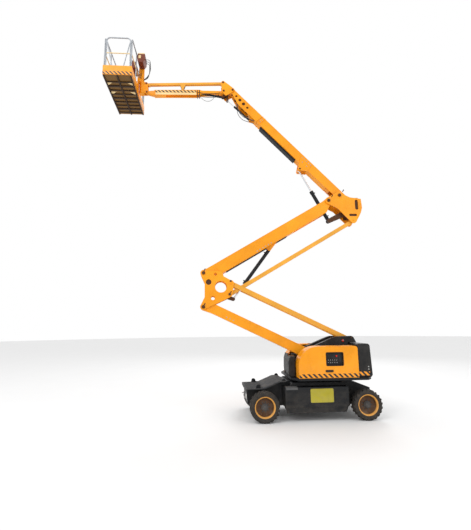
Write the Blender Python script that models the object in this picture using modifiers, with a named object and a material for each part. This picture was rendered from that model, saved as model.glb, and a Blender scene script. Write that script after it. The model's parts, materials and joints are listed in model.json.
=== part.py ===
"""Articulating boom lift, 16 m class, with a telescopic main boom and a jib.

Metres, +Z up, wheels on Z = 0. The booms point to -X and the counterweight is at +X.
Fixed pieces and pins are given as (x, z) from the slew axis; SLEW_X moves them into the
object's own frame, whose origin is on the floor below the middle of its box.
"""

from math import cos, radians, sin, tau

import bmesh
import bpy
from mathutils import Matrix, Vector

# ---- Driving dimensions ------------------------------------------------------------

SLEW_X = 1.812  # slew axis, from the middle of the box
GAP = 0.0003  # between pieces that touch
CLEARANCE = 0.006  # between pieces that move past each other
PIN_GAP = 0.0005  # around a pin, under a wear pad and along a rod in its barrel

# Wheels and chassis
WHEELBASE = 2.466
MACHINE_WIDTH = 1.80  # over the tyres
TYRE_RADIUS = 0.355
TYRE_WIDTH = 0.26
RIM_RADIUS = 0.245  # at the flange, where the tyre's bead sits
RIM_WIDTH = 0.21
HUB_RADIUS = 0.085
AXLE_RADIUS = 0.045
REAR_STUB_RADIUS = 0.035
KINGPIN_Y = 0.56
CHASSIS_HALF_WIDTH = 0.41  # of the narrow nose and tail, between the wheels
CHASSIS_BOTTOM = 0.30
NOSE_X = -1.62
NOSE_DECK_Z = 0.72
TAIL_X = 1.50
BOX_HALF_WIDTH = 0.82  # of the side boxes between the axles
BOX_FRONT_X = -0.74
BOX_REAR_X = 0.80
BOX_TOP_Z = 0.78
DECK_Z = 0.875  # top of the chassis under the slew ring
SLEW_RING_RADIUS = 0.42

# Turntable
TURNTABLE_BOTTOM = 0.93
TURNTABLE_PLATE = 0.06
TURNTABLE_HALF_WIDTH = 0.90
DOOR_FRONT_X = -0.41
DOOR_REAR_X = 1.05
REAR_SHUT_GAP = 0.012  # between a door and the counterweight
DOOR_TOP_Z = 1.73
DOOR_WALL = 0.03
DOOR_INNER_Y = 0.50  # where the door's top ends, at its hinge
DOOR_ROUND = 0.48  # radius of its front top corner
WINDOW_X = (0.263, 0.686)
WINDOW_Z = (1.275, 1.585)
REAR_X = 1.42
REAR_TOP_Z = 1.78
ENGINE_TOP_Z = 1.48

# Widths, from the middle plane outwards, of what lies side by side in the linkage
CENTRE_LANE = 0.075  # cylinders and their brackets
UPPER_ROD_LANE = (0.085, 0.112)
LOWER_ROD_LANE = (0.120, 0.150)
RISER_HALF_WIDTH = 0.155
SLOT_HALF_WIDTH = 0.105
PLATE_LANE = (0.165, 0.190)  # tower, mid link and top link plates

# Linkage: pins as (x, z) from the slew axis, lengths between pins, angles above level
TOWER_PIN = (0.38, 1.26)
LOWER_RISER_LENGTH = 3.409
LOWER_RISER_ANGLE = 25.7
LOWER_ROD_OFFSET = (0.72, 0.622)  # from a lower riser pin to the lower rod's pin
MID_LINK_HEIGHT = 0.892
UPPER_ROD_OFFSET = (0.686, -0.567)
UPPER_RISER_LENGTH = 4.047
UPPER_RISER_ANGLE = 30.5
BOOM_PIVOT_OFFSET = (0.320, 0.157)  # from the upper riser's top pin
LUFF_BASE_OFFSET = (0.028, -0.544)
BOOM_ANGLE = 45.7
LUFF_EYE = (1.332, -0.215)  # along the boom and above its pivot line
RISER_CYLINDER_EYE = (1.889, -0.330)  # on the upper riser, from its lower pin
RISER_CYLINDER_BASE = (0.792, -0.685)  # on the mid link, from its top pin

# Sections of the arms, as heights above the line through their pins
LOWER_RISER_SECTION = (-0.055, 0.195)
UPPER_RISER_SECTION = (-0.255, 0.065)
BOOM_SECTION = (-0.085, 0.165)
BOOM_HALF_WIDTH = 0.118
BOOM_WALL = 0.012
BOOM_LENGTH = 3.20
BOOM_TAIL = 0.13
EXTENSION_TAIL = 0.28  # where the inner boom starts, from the pivot
HEAD_PIN = (4.387, 0.112)  # the knuckle's pin on the boom head
SLAVE_BASE = (3.40, -0.145)
LOWER_ROD_HALF_HEIGHT = 0.058
UPPER_ROD_HALF_HEIGHT = 0.050

# Jib and platform, pins as offsets in x and z
SLAVE_EYE_OFFSET = (-0.150, -0.260)  # from the head pin
JIB_LOWER_OFFSET = (-0.260, -0.040)
JIB_UPPER_OFFSET = (-0.280, 0.230)
JIB_CYLINDER_OFFSET = (-0.290, -0.160)
JIB_REACH = (-2.230, -0.060)
JIB_LUG_OFFSET = (-1.180, -0.190)  # from the upper arm's pin at the knuckle
ROTATOR_OFFSET = -0.145  # from the lower arm's pin at the bracket
ROTATOR_RADIUS = 0.075
POST_RADIUS = 0.050
PLATFORM_LENGTH = 1.80  # across the machine
PLATFORM_DEPTH = 0.76
PLATFORM_BOTTOM = 8.842
PLATFORM_HEIGHT = 1.144
PLATFORM_BACK = -0.105  # from the rotator's axis to the platform's rear side
FLOOR_THICKNESS = 0.05
TOE_BOARD_HEIGHT = 0.27
GATE_STEP_HEIGHT = 0.15
TOE_BOARD = 0.006
RAIL_RADIUS = 0.017
MID_RAIL_HEIGHT = 0.66
RAIL_INSET = 0.02  # from the floor's edge to the rails' middle


# ---- Derived points -----------------------------------------------------------------

def shifted(point, offset):
    return (point[0] + offset[0], point[1] + offset[1])


def to_front(pin, length, degrees):
    angle = radians(degrees)
    return (pin[0] - length * cos(angle), pin[1] + length * sin(angle))


def to_rear(pin, length, degrees):
    angle = radians(degrees)
    return (pin[0] + length * cos(angle), pin[1] + length * sin(angle))


def on_boom(along, above):
    angle = radians(BOOM_ANGLE)
    return (
        BOOM_PIVOT[0] - along * cos(angle) + above * sin(angle),
        BOOM_PIVOT[1] + along * sin(angle) + above * cos(angle),
    )


def on_upper_riser(along, above):
    angle = radians(UPPER_RISER_ANGLE)
    return (
        MID_TOP_PIN[0] + along * cos(angle) - above * sin(angle),
        MID_TOP_PIN[1] + along * sin(angle) + above * cos(angle),
    )


ROD_TOWER_PIN = shifted(TOWER_PIN, LOWER_ROD_OFFSET)
MID_LOW_PIN = to_front(TOWER_PIN, LOWER_RISER_LENGTH, LOWER_RISER_ANGLE)
MID_ROD_PIN = shifted(MID_LOW_PIN, LOWER_ROD_OFFSET)
MID_TOP_PIN = shifted(MID_LOW_PIN, (0, MID_LINK_HEIGHT))
MID_UPPER_ROD_PIN = shifted(MID_TOP_PIN, UPPER_ROD_OFFSET)
TOP_PIN = to_rear(MID_TOP_PIN, UPPER_RISER_LENGTH, UPPER_RISER_ANGLE)
TOP_ROD_PIN = shifted(TOP_PIN, UPPER_ROD_OFFSET)
BOOM_PIVOT = shifted(TOP_PIN, BOOM_PIVOT_OFFSET)
LUFF_BASE = shifted(TOP_PIN, LUFF_BASE_OFFSET)
LUFF_EYE_PIN = on_boom(*LUFF_EYE)
RISER_EYE_PIN = on_upper_riser(*RISER_CYLINDER_EYE)
RISER_BASE_PIN = shifted(MID_TOP_PIN, RISER_CYLINDER_BASE)
KNUCKLE_PIN = on_boom(*HEAD_PIN)
SLAVE_BASE_PIN = on_boom(*SLAVE_BASE)
SLAVE_EYE_PIN = shifted(KNUCKLE_PIN, SLAVE_EYE_OFFSET)
JIB_LOWER_PIN = shifted(KNUCKLE_PIN, JIB_LOWER_OFFSET)
JIB_UPPER_PIN = shifted(KNUCKLE_PIN, JIB_UPPER_OFFSET)
JIB_CYLINDER_PIN = shifted(KNUCKLE_PIN, JIB_CYLINDER_OFFSET)
JIB_LUG_PIN = shifted(JIB_UPPER_PIN, JIB_LUG_OFFSET)
BRACKET_LOWER_PIN = shifted(JIB_LOWER_PIN, JIB_REACH)
BRACKET_UPPER_PIN = shifted(JIB_UPPER_PIN, JIB_REACH)
ROTATOR_X = BRACKET_LOWER_PIN[0] + ROTATOR_OFFSET
PLATFORM_REAR_X = ROTATOR_X + PLATFORM_BACK
PLATFORM_FRONT_X = PLATFORM_REAR_X - PLATFORM_DEPTH
WHEEL_Y = (MACHINE_WIDTH - TYRE_WIDTH) / 2
PLATE_TOP = TURNTABLE_BOTTOM + TURNTABLE_PLATE

YELLOW = ((0.93, 0.36, 0.01), 0.35, 0.0)
BLACK = ((0.015, 0.015, 0.017), 0.5, 0.0)
RUBBER = ((0.02, 0.018, 0.016), 0.9, 0.0)
CHROME = ((0.7, 0.7, 0.72), 0.15, 1.0)
STEEL = ((0.35, 0.36, 0.38), 0.4, 0.8)


# ---- Making shapes --------------------------------------------------------------------

def clear_scene():
    for item in list(bpy.data.objects):
        bpy.data.objects.remove(item, do_unlink=True)


def new_collection(name, hidden):
    group = bpy.data.collections.new(name)
    bpy.context.scene.collection.children.link(group)
    group.hide_render = hidden
    return group


clear_scene()
LIFT = new_collection("articulating_boom_lift", False)
CUTTERS = new_collection("cutters", True)


def frame_at(pin, degrees=0.0, y=0.0):
    """A place at a pin, turned about Y; positive degrees raise what points to -X."""
    place = Matrix.Translation((SLEW_X + pin[0], y, pin[1]))
    return place @ Matrix.Rotation(radians(degrees), 4, "Y")


GROUND = frame_at((0, 0))


def helper(mesh, frame):
    item = bpy.data.objects.new(mesh.name, mesh)
    item.matrix_world = frame
    item.hide_render = True
    item.display_type = "WIRE"
    CUTTERS.objects.link(item)
    return item


def from_bmesh(bm, name, frame):
    mesh = bpy.data.meshes.new(name)
    bm.to_mesh(mesh)
    bm.free()
    return helper(mesh, frame)


def box(frame, x, y, z):
    """A block between pairs of x, y and z in the frame."""
    centre = Vector(((x[0] + x[1]) / 2, (y[0] + y[1]) / 2, (z[0] + z[1]) / 2))
    size = (abs(x[1] - x[0]), abs(y[1] - y[0]), abs(z[1] - z[0]), 1)
    bm = bmesh.new()
    bmesh.ops.create_cube(bm, size=1, matrix=Matrix.Translation(centre) @ Matrix.Diagonal(size))
    return from_bmesh(bm, "box", frame)


def rod(frame, start, end, radius, sides=16, end_radius=None):
    """A round bar between two points in the frame; with an end_radius it is a cone."""
    start = Vector(start)
    end = Vector(end)
    turn = Vector((0, 0, 1)).rotation_difference(end - start).to_matrix().to_4x4()
    place = Matrix.Translation((start + end) / 2) @ turn
    bm = bmesh.new()
    bmesh.ops.create_cone(
        bm,
        cap_ends=True,
        segments=sides,
        radius1=radius,
        radius2=radius if end_radius is None else end_radius,
        depth=(end - start).length,
        matrix=place,
    )
    return from_bmesh(bm, "rod", frame)


def pin_across(frame, point, radius, y, sides=12):
    """A round bar along Y at (x, z) in the frame, between the pair y."""
    return rod(frame, (point[0], y[0], point[1]), (point[0], y[1], point[1]), radius, sides)


def mesh_from_curve(curve, frame):
    """The mesh of a curve object, with its caps welded to its sides."""
    item = bpy.data.objects.new(curve.name, curve)
    CUTTERS.objects.link(item)
    graph = bpy.context.evaluated_depsgraph_get()
    mesh = bpy.data.meshes.new_from_object(item.evaluated_get(graph))
    bpy.data.objects.remove(item)
    bm = bmesh.new()
    bm.from_mesh(mesh)
    bmesh.ops.remove_doubles(bm, verts=bm.verts, dist=0.00001)
    bmesh.ops.recalc_face_normals(bm, faces=bm.faces)
    bm.to_mesh(mesh)
    bm.free()
    return helper(mesh, frame)


def plate(frame, outline, y, turn=None):
    """A flat plate: an outline of (x, z) in the frame, between the pair y."""
    curve = bpy.data.curves.new("plate", "CURVE")
    curve.dimensions = "2D"
    curve.fill_mode = "BOTH"
    curve.extrude = abs(y[1] - y[0]) / 2
    spline = curve.splines.new("POLY")
    spline.points.add(len(outline) - 1)
    for point, (x, z) in zip(spline.points, outline):
        point.co = (x, z, 0, 1)
    spline.use_cyclic_u = True
    item = mesh_from_curve(curve, frame)
    upright = Matrix.Rotation(radians(90), 4, "X") if turn is None else turn
    item.data.transform(Matrix.Translation((0, (y[0] + y[1]) / 2, 0)) @ upright)
    return item


def slab(frame, outline, z):
    """A level plate: an outline of (x, y) in the frame, between the pair z."""
    lift = Matrix.Translation((0, 0, (z[0] + z[1]) / 2))
    return plate(frame, outline, (-abs(z[1] - z[0]) / 2, abs(z[1] - z[0]) / 2), lift)


def tube(frame, points, radius):
    """A round tube through points in the frame."""
    curve = bpy.data.curves.new("tube", "CURVE")
    curve.dimensions = "3D"
    curve.bevel_depth = radius
    curve.bevel_resolution = 2
    curve.use_fill_caps = True
    spline = curve.splines.new("POLY")
    spline.points.add(len(points) - 1)
    for point, place in zip(spline.points, points):
        point.co = (*place, 1)
    return mesh_from_curve(curve, frame)


def around(discs, steps=16):
    """The outline of a tight band around discs, each an (x, z, radius)."""
    points = sorted(
        (x + r * cos(tau * i / steps), z + r * sin(tau * i / steps))
        for x, z, r in discs
        for i in range(steps)
    )

    def chain(ordered):
        found = []
        for p in ordered:
            while len(found) > 1 and turn_of(found[-2], found[-1], p) <= 1e-9:
                found.pop()
            found.append(p)
        return found[:-1]

    return chain(points) + chain(points[::-1])


def turn_of(a, b, c):
    return (b[0] - a[0]) * (c[1] - a[1]) - (b[1] - a[1]) * (c[0] - a[0])


def arc(centre, radius, start, end, steps=8):
    """Points on an arc, from one angle in degrees to another."""
    return [
        (
            centre[0] + radius * cos(radians(start + (end - start) * i / steps)),
            centre[1] + radius * sin(radians(start + (end - start) * i / steps)),
        )
        for i in range(steps + 1)
    ]


def turned(frame, profile, steps=32):
    """A shape turned about the frame's Y axis from a closed profile of (radius, y)."""
    mesh = bpy.data.meshes.new("turned")
    count = len(profile)
    mesh.from_pydata(
        [(radius, 0, across) for radius, across in profile],
        [(i, (i + 1) % count) for i in range(count)],
        [],
    )
    item = bpy.data.objects.new("turned", mesh)
    CUTTERS.objects.link(item)
    screw = item.modifiers.new("turn", "SCREW")
    screw.steps = steps
    screw.render_steps = steps
    screw.use_merge_vertices = True
    screw.merge_threshold = 0.00005
    graph = bpy.context.evaluated_depsgraph_get()
    result = bpy.data.meshes.new_from_object(item.evaluated_get(graph))
    bpy.data.objects.remove(item)
    result.transform(Matrix.Rotation(radians(90), 4, "X"))
    bm = bmesh.new()
    bm.from_mesh(result)
    bmesh.ops.remove_doubles(bm, verts=bm.verts, dist=0.00001)
    bmesh.ops.recalc_face_normals(bm, faces=bm.faces)
    bm.to_mesh(result)
    bm.free()
    return helper(result, frame)


def bore(frame, point, pin_radius, y):
    """A hole for a pin. Its flats face the pin's corners, which turn clear of them."""
    centre = Matrix.Translation((point[0], 0, point[1]))
    half_side = Matrix.Rotation(tau / 24, 4, "Y")
    turned_frame = frame @ centre @ half_side @ centre.inverted()
    return pin_across(turned_frame, point, (pin_radius + PIN_GAP) / cos(tau / 24), y)


def boolean(item, other, operation, solver="EXACT"):
    step = item.modifiers.new(operation.lower(), "BOOLEAN")
    step.solver = solver
    step.operation = operation
    step.object = other


def part(name, finish, shapes, cuts=(), solver="EXACT"):
    """A node: the first shape, joined with the others, less the cuts."""
    item = shapes[0]
    item.name = name
    item.data.name = name
    item.hide_render = False
    item.display_type = "TEXTURED"
    CUTTERS.objects.unlink(item)
    LIFT.objects.link(item)
    for other in shapes[1:]:
        boolean(item, other, "UNION", solver)
    for other in cuts:
        boolean(item, other, "DIFFERENCE", solver)
    colour, roughness, metallic = finish
    material = bpy.data.materials.new(name)
    material.use_nodes = True
    shader = material.node_tree.nodes["Principled BSDF"]
    shader.inputs["Base Color"].default_value = (*colour, 1)
    shader.inputs["Roughness"].default_value = roughness
    shader.inputs["Metallic"].default_value = metallic
    item.data.materials.append(material)
    item.data.shade_smooth()
    item.data.set_sharp_from_angle(angle=radians(30))
    return item


def both_sides(make, lane):
    """Two shapes from one maker, at +Y and at -Y."""
    return [make((side * lane[0], side * lane[1])) for side in (1, -1)]


# ---- Chassis and wheels -----------------------------------------------------------------

def chassis():
    low = CHASSIS_BOTTOM
    half = CHASSIS_HALF_WIDTH
    side_view = [
        (NOSE_X + 0.02, low + 0.06),
        (NOSE_X + 0.10, low),
        (TAIL_X - 0.10, low),
        (TAIL_X, low + 0.08),
        (TAIL_X, 0.68),
        (1.00, DECK_Z),
        (-0.80, DECK_Z),
        (-1.20, NOSE_DECK_Z - 0.008),
        (NOSE_X, NOSE_DECK_Z - 0.008),
    ]
    spine = plate(GROUND, side_view, (-half, half))
    boxes_view = [
        (BOX_FRONT_X, low + 0.02),
        (BOX_REAR_X - 0.06, low + 0.02),
        (BOX_REAR_X, low + 0.08),
        (BOX_REAR_X, BOX_TOP_Z),
        (BOX_FRONT_X + 0.03, BOX_TOP_Z),
        (BOX_FRONT_X, BOX_TOP_Z - 0.03),
    ]
    boxes = plate(GROUND, boxes_view, (-BOX_HALF_WIDTH, BOX_HALF_WIDTH))
    shoulder = plate(
        GROUND,
        [(-0.60, BOX_TOP_Z - 0.05), (0.80, BOX_TOP_Z - 0.05), (0.72, DECK_Z - 0.01), (-0.52, DECK_Z - 0.01)],
        (-0.62, 0.62),
    )
    part("chassis_frame", BLACK, [spine, boxes, shoulder])
    deck = [
        (NOSE_X - 0.03, NOSE_DECK_Z - 0.06),
        (NOSE_X - 0.03, NOSE_DECK_Z + 0.01),
        (-1.22, NOSE_DECK_Z + 0.02),
        (-0.83, DECK_Z + 0.025),
        (-0.66, DECK_Z + 0.025),
        (-0.66, DECK_Z + GAP),
        (-0.80, DECK_Z + GAP),
        (-1.20, NOSE_DECK_Z - 0.008 + GAP),
        (NOSE_X - GAP, NOSE_DECK_Z - 0.008 + GAP),
        (NOSE_X - GAP, NOSE_DECK_Z - 0.06),
    ]
    part("front_deck", BLACK, [plate(GROUND, deck, (-0.58, 0.58))])
    ring = [
        (SLEW_RING_RADIUS, TURNTABLE_BOTTOM - GAP),
        (SLEW_RING_RADIUS, DECK_Z + GAP),
        (SLEW_RING_RADIUS - 0.12, DECK_Z + GAP),
        (SLEW_RING_RADIUS - 0.12, TURNTABLE_BOTTOM - GAP),
    ]
    item = turned(GROUND, [(radius, z) for radius, z in ring], 32)
    item.data.transform(Matrix.Rotation(radians(-90), 4, "X"))
    part("slew_ring", STEEL, [item])


def axles():
    front = -WHEELBASE / 2
    rear = WHEELBASE / 2
    z = TYRE_RADIUS
    # The nose straddles the beam in a notch, so the beam is cut from it with a gap.
    beam_half = 0.065
    beam = box(GROUND, (front - beam_half, front + beam_half), (-KINGPIN_Y + 0.07, KINGPIN_Y - 0.07), (z - 0.07, z + 0.06))
    notch = box(
        GROUND,
        (front - beam_half - GAP, front + beam_half + GAP),
        (-0.7, 0.7),
        (0.1, z + 0.06 + GAP),
    )
    eyes = [
        rod(GROUND, (front, side * KINGPIN_Y, z - 0.08), (front, side * KINGPIN_Y, z + 0.08), 0.055)
        for side in (1, -1)
    ]
    lugs = [
        box(GROUND, (front - 0.04, front + 0.04), (side * (KINGPIN_Y - 0.12), side * (KINGPIN_Y - 0.02)), (z - 0.06, z + 0.05))
        for side in (1, -1)
    ]
    part("front_axle", BLACK, [beam] + lugs + eyes)
    boolean(bpy.data.objects["chassis_frame"], notch, "DIFFERENCE")
    housing = rod(GROUND, (rear, -0.58, z), (rear, 0.58, z), 0.085)
    notch = box(GROUND, (rear - 0.14, rear + 0.14), (-0.7, 0.7), (0.1, z + 0.10))
    saddle = box(GROUND, (rear - 0.10, rear + 0.10), (-0.30, 0.30), (z + 0.02, z + 0.10 - GAP))
    ends = [
        rod(GROUND, (rear, side * 0.50, z), (rear, side * 0.625, z), 0.12)
        for side in (1, -1)
    ]
    stubs = [
        rod(GROUND, (rear, side * 0.60, z), (rear, side * (WHEEL_Y + 0.02), z), REAR_STUB_RADIUS, 28)
        for side in (1, -1)
    ]
    part("rear_axle", BLACK, [housing, saddle] + ends + stubs)
    boolean(bpy.data.objects["chassis_frame"], notch, "DIFFERENCE")
    for label, side in (("left", -1), ("right", 1)):
        steering_knuckle(label, side)


def steering_knuckle(label, side):
    z = TYRE_RADIUS
    place = frame_at((-WHEELBASE / 2, z), y=side * KINGPIN_Y)
    jaws = [
        box(place, (-0.05, 0.05), (-0.055 * side, 0.085 * side), (low, low + 0.035))
        for low in (-0.08 - PIN_GAP - 0.035, 0.08 + PIN_GAP)
    ]
    back = box(place, (-0.06, 0.06), (0.064 * side, 0.10 * side), (-0.12, 0.12))
    stub = rod(place, (0, 0.08 * side, 0), (0, (WHEEL_Y - KINGPIN_Y) * side, 0), AXLE_RADIUS)
    arm = box(place, (0.04, 0.20), (0.066 * side, 0.092 * side), (-0.035, 0.0))
    part(f"steering_knuckle_{label}", BLACK, [back] + jaws + [stub, arm])


def wheels():
    for end, x in (("front", -WHEELBASE / 2), ("rear", WHEELBASE / 2)):
        for label, side in (("left", -1), ("right", 1)):
            wheel(f"{end}_{label}", frame_at((x, TYRE_RADIUS), y=side * WHEEL_Y), side)


def wheel(name, place, side):
    half = TYRE_WIDTH / 2
    bead = RIM_RADIUS - 0.012
    tyre = [
        (TYRE_RADIUS - 0.045, half),
        (TYRE_RADIUS - 0.010, half * 0.86),
        (TYRE_RADIUS, half * 0.60),
        (TYRE_RADIUS, -half * 0.60),
        (TYRE_RADIUS - 0.010, -half * 0.86),
        (TYRE_RADIUS - 0.045, -half),
        (bead + 0.02, -half * 0.92),
        (bead, -half * 0.78),
        (bead, half * 0.78),
        (bead + 0.02, half * 0.92),
    ]
    part(f"{name}_tyre", RUBBER, [turned(place, tyre, 28)])
    # The rim's outer face is a deep dish; the hub stands in its middle.
    well = bead - GAP
    wide = half * 0.80
    disc = 0.0
    rim = [
        (well, wide),
        (well, -wide),
        (well - 0.014, -wide),
        (well - 0.030, -wide * 0.8),
        (well - 0.045, disc - 0.012),
        (AXLE_RADIUS + GAP if name.startswith("front") else REAR_STUB_RADIUS + GAP, disc - 0.012),
        (AXLE_RADIUS + GAP if name.startswith("front") else REAR_STUB_RADIUS + GAP, disc + 0.028),
        (HUB_RADIUS, disc + 0.028),
        (HUB_RADIUS, disc + 0.006),
        (well - 0.045, disc + 0.006),
        (well - 0.030, wide * 0.8),
        (well - 0.014, wide),
    ]
    part(f"{name}_rim", YELLOW, [turned(place, [(r, -side * y) for r, y in rim], 28)])


# ---- Turntable ---------------------------------------------------------------------------

def turntable():
    half = TURNTABLE_HALF_WIDTH
    outline = [
        (DOOR_FRONT_X, -half),
        (REAR_X - 0.14, -half),
        (REAR_X - 0.02, -half + 0.14),
        (REAR_X - 0.02, half - 0.14),
        (REAR_X - 0.14, half),
        (DOOR_FRONT_X, half),
        (DOOR_FRONT_X - 0.14, half - 0.30),
        (DOOR_FRONT_X - 0.14, -half + 0.30),
    ]
    part("turntable_base", BLACK, [slab(GROUND, outline, (TURNTABLE_BOTTOM, PLATE_TOP))])
    tower()
    doors()
    turntable_blocks()


def tower_outline():
    pivot = (*TOWER_PIN, 0.12)
    top = (*ROD_TOWER_PIN, 0.065)
    low = PLATE_TOP + GAP
    return around([pivot, (pivot[0] - 0.08, low + 0.05, 0.05), (0.98, low + 0.05, 0.05), top])


def tower():
    walls = both_sides(lambda y: plate(GROUND, tower_outline(), y), PLATE_LANE)
    inner = PLATE_LANE[0] + 0.004
    low = PLATE_TOP + GAP
    foot = box(GROUND, (0.27, 1.03), (-0.23, 0.23), (low, low + 0.03))
    rear_web = box(GROUND, (0.94, 0.98), (-inner, inner), (low + 0.02, 1.50))
    pivot = [pin_across(GROUND, TOWER_PIN, 0.035, y) for y in ((0.142, 0.215), (-0.215, -0.142))]
    rod_pins = [pin_across(GROUND, ROD_TOWER_PIN, 0.025, y) for y in ((0.121, 0.197), (-0.197, -0.121))]
    part("tower", YELLOW, [foot, rear_web] + walls + pivot + rod_pins)


def door_profile(inset):
    """The door's side view, drawn in by an inset."""
    low = PLATE_TOP + 0.004
    front = DOOR_FRONT_X + inset
    rear = DOOR_REAR_X - inset
    top = DOOR_TOP_Z - inset
    radius = DOOR_ROUND - inset
    corner = arc((front + radius, top - radius), radius, 180, 90, 10)
    small = arc((rear - 0.06, top - 0.06), 0.06, 90, 0, 3)
    return [(rear, low), (front, low)] + corner + small


def doors():
    for label, side in (("left", -1), ("right", 1)):
        hinge_z = DOOR_TOP_Z - 0.015
        place = frame_at((0, hinge_z), y=side * DOOR_INNER_Y)
        drop = Matrix.Translation((0, -side * DOOR_INNER_Y, -hinge_z))
        outer_y = side * TURNTABLE_HALF_WIDTH
        skin = plate(GROUND, door_profile(0), (side * DOOR_INNER_Y, outer_y))
        skin.data.transform(drop)
        skin.matrix_world = place
        cavity_outline = door_profile(DOOR_WALL)
        cavity_outline[0] = (cavity_outline[0][0], PLATE_TOP - 0.1)
        cavity_outline[1] = (cavity_outline[1][0], PLATE_TOP - 0.1)
        cavity = plate(GROUND, cavity_outline, (side * (DOOR_INNER_Y - 0.1), outer_y - side * DOOR_WALL))
        window = box(GROUND, WINDOW_X, (outer_y - side * 0.10, outer_y + side * 0.05), WINDOW_Z)
        hinge_pin = rod(place, (DOOR_REAR_X - 0.03, 0, 0), (DOOR_REAR_X + REAR_SHUT_GAP - GAP, 0, 0), 0.010, 12)
        part(f"{label}_door", YELLOW, [skin, hinge_pin], [cavity, window])


def turntable_blocks():
    low = PLATE_TOP + GAP
    # Counterweight and rear hood, in one block with chamfered rear corners.
    rear = [
        (DOOR_REAR_X + REAR_SHUT_GAP, low),
        (REAR_X - 0.03, low),
        (REAR_X, low + 0.05),
        (REAR_X - 0.03, REAR_TOP_Z - 0.04),
        (REAR_X - 0.07, REAR_TOP_Z),
        (DOOR_REAR_X + 0.05, REAR_TOP_Z),
        (DOOR_REAR_X + REAR_SHUT_GAP, REAR_TOP_Z - 0.04),
    ]
    hood = plate(GROUND, rear, (-0.84, 0.84))
    trough = box(GROUND, (0.9, 1.22), (-PLATE_LANE[1] - 0.03, PLATE_LANE[1] + 0.03), (0.9, 2.2))
    part("counterweight", BLACK, [hood], [trough])
    power = box(GROUND, (-0.30, 0.98), (0.26, 0.80), (low, ENGINE_TOP_Z))
    part("engine_block", STEEL, [power])
    tank = box(GROUND, (-0.30, 0.98), (-0.80, -0.26), (low, 1.24))
    part("tank_and_battery_block", BLACK, [tank])
    panel = box(
        GROUND,
        (WINDOW_X[0] - 0.02, WINDOW_X[1] + 0.02),
        (-TURNTABLE_HALF_WIDTH + DOOR_WALL + 0.02, -0.60),
        (1.24 + GAP, WINDOW_Z[1] + 0.02),
    )
    part("ground_control_box", BLACK, [panel])
    for label, side in (("left", -1), ("right", 1)):
        front = [
            (DOOR_FRONT_X - 0.012, low),
            (DOOR_FRONT_X - 0.012, 1.49),
            (DOOR_FRONT_X - 0.07, 1.50),
            (DOOR_FRONT_X - 0.16, 1.42),
            (DOOR_FRONT_X - 0.20, 1.20),
            (DOOR_FRONT_X - 0.12, low),
        ]
        part(f"{label}_front_cover", BLACK, [plate(GROUND, front, (side * 0.24, side * 0.62))])


def fairing():
    """The black cover over the tower's top, open along the middle where the rod swings."""
    low = ENGINE_TOP_Z + GAP
    over_hood = REAR_TOP_Z + 0.01
    outline = [
        (0.04, low),
        (DOOR_REAR_X - 0.005, low),
        (DOOR_REAR_X - 0.005, over_hood),
        (1.27, over_hood),
        (1.20, 1.93),
        (1.15, 1.955),
        (0.74, 1.945),
        (0.66, 1.92),
        (0.477, 1.85),
        (0.04, 1.665),
    ]
    walls = both_sides(lambda y: plate(GROUND, outline, y), (PLATE_LANE[1] + 0.012, 0.32))
    bridge = box(GROUND, (0.50, 0.58), (-0.25, 0.25), (1.62, 1.65))
    part("tower_fairing", BLACK, [walls[0], bridge, walls[1]])


# ---- Risers, rods and links ------------------------------------------------------------------

def lower_riser():
    place = frame_at(TOWER_PIN, LOWER_RISER_ANGLE)
    reach = -LOWER_RISER_LENGTH
    low, high = LOWER_RISER_SECTION
    half = RISER_HALF_WIDTH
    outline = (
        [(-0.22, high)]
        + arc((0, 0), 0.10, 75, -75, 8)
        + [(-0.20, low), (reach + 0.30, low)]
        + arc((reach, 0), 0.085, 275, 105, 8)
        + [(reach + 0.26, high)]
    )
    body = plate(place, outline, (-half, half))
    bores = [
        bore(place, point, 0.035, y)
        for point in ((0, 0), (reach, 0))
        for y in ((0.14, 0.2), (-0.2, -0.14))
    ]
    part("lower_riser", YELLOW, [body], bores)


def bar_pair(name, place, length, direction, half_height, lane, ties):
    """Twin bars between two pins, joined by round ties at given distances."""
    end = direction * length
    radius = half_height
    outline = around([(0, 0, radius), (end, 0, radius)])
    bars = both_sides(lambda y: plate(place, outline, y), lane)
    joins = [
        pin_across(place, (direction * along, 0), 0.024, (-lane[0] - 0.01, lane[0] + 0.01), 16)
        for along in ties
    ]
    bores = [bore(place, point, 0.025, (-0.3, 0.3)) for point in ((0, 0), (end, 0))]
    part(name, YELLOW, [bars[0]] + joins + [bars[1]], bores)


def rods():
    bar_pair(
        "lower_rod",
        frame_at(ROD_TOWER_PIN, LOWER_RISER_ANGLE),
        LOWER_RISER_LENGTH,
        -1,
        LOWER_ROD_HALF_HEIGHT,
        LOWER_ROD_LANE,
        (0.22,),
    )
    bar_pair(
        "upper_rod",
        frame_at(MID_UPPER_ROD_PIN, -UPPER_RISER_ANGLE),
        UPPER_RISER_LENGTH,
        1,
        UPPER_ROD_HALF_HEIGHT,
        UPPER_ROD_LANE,
        (1.60, 2.60),
    )


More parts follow.
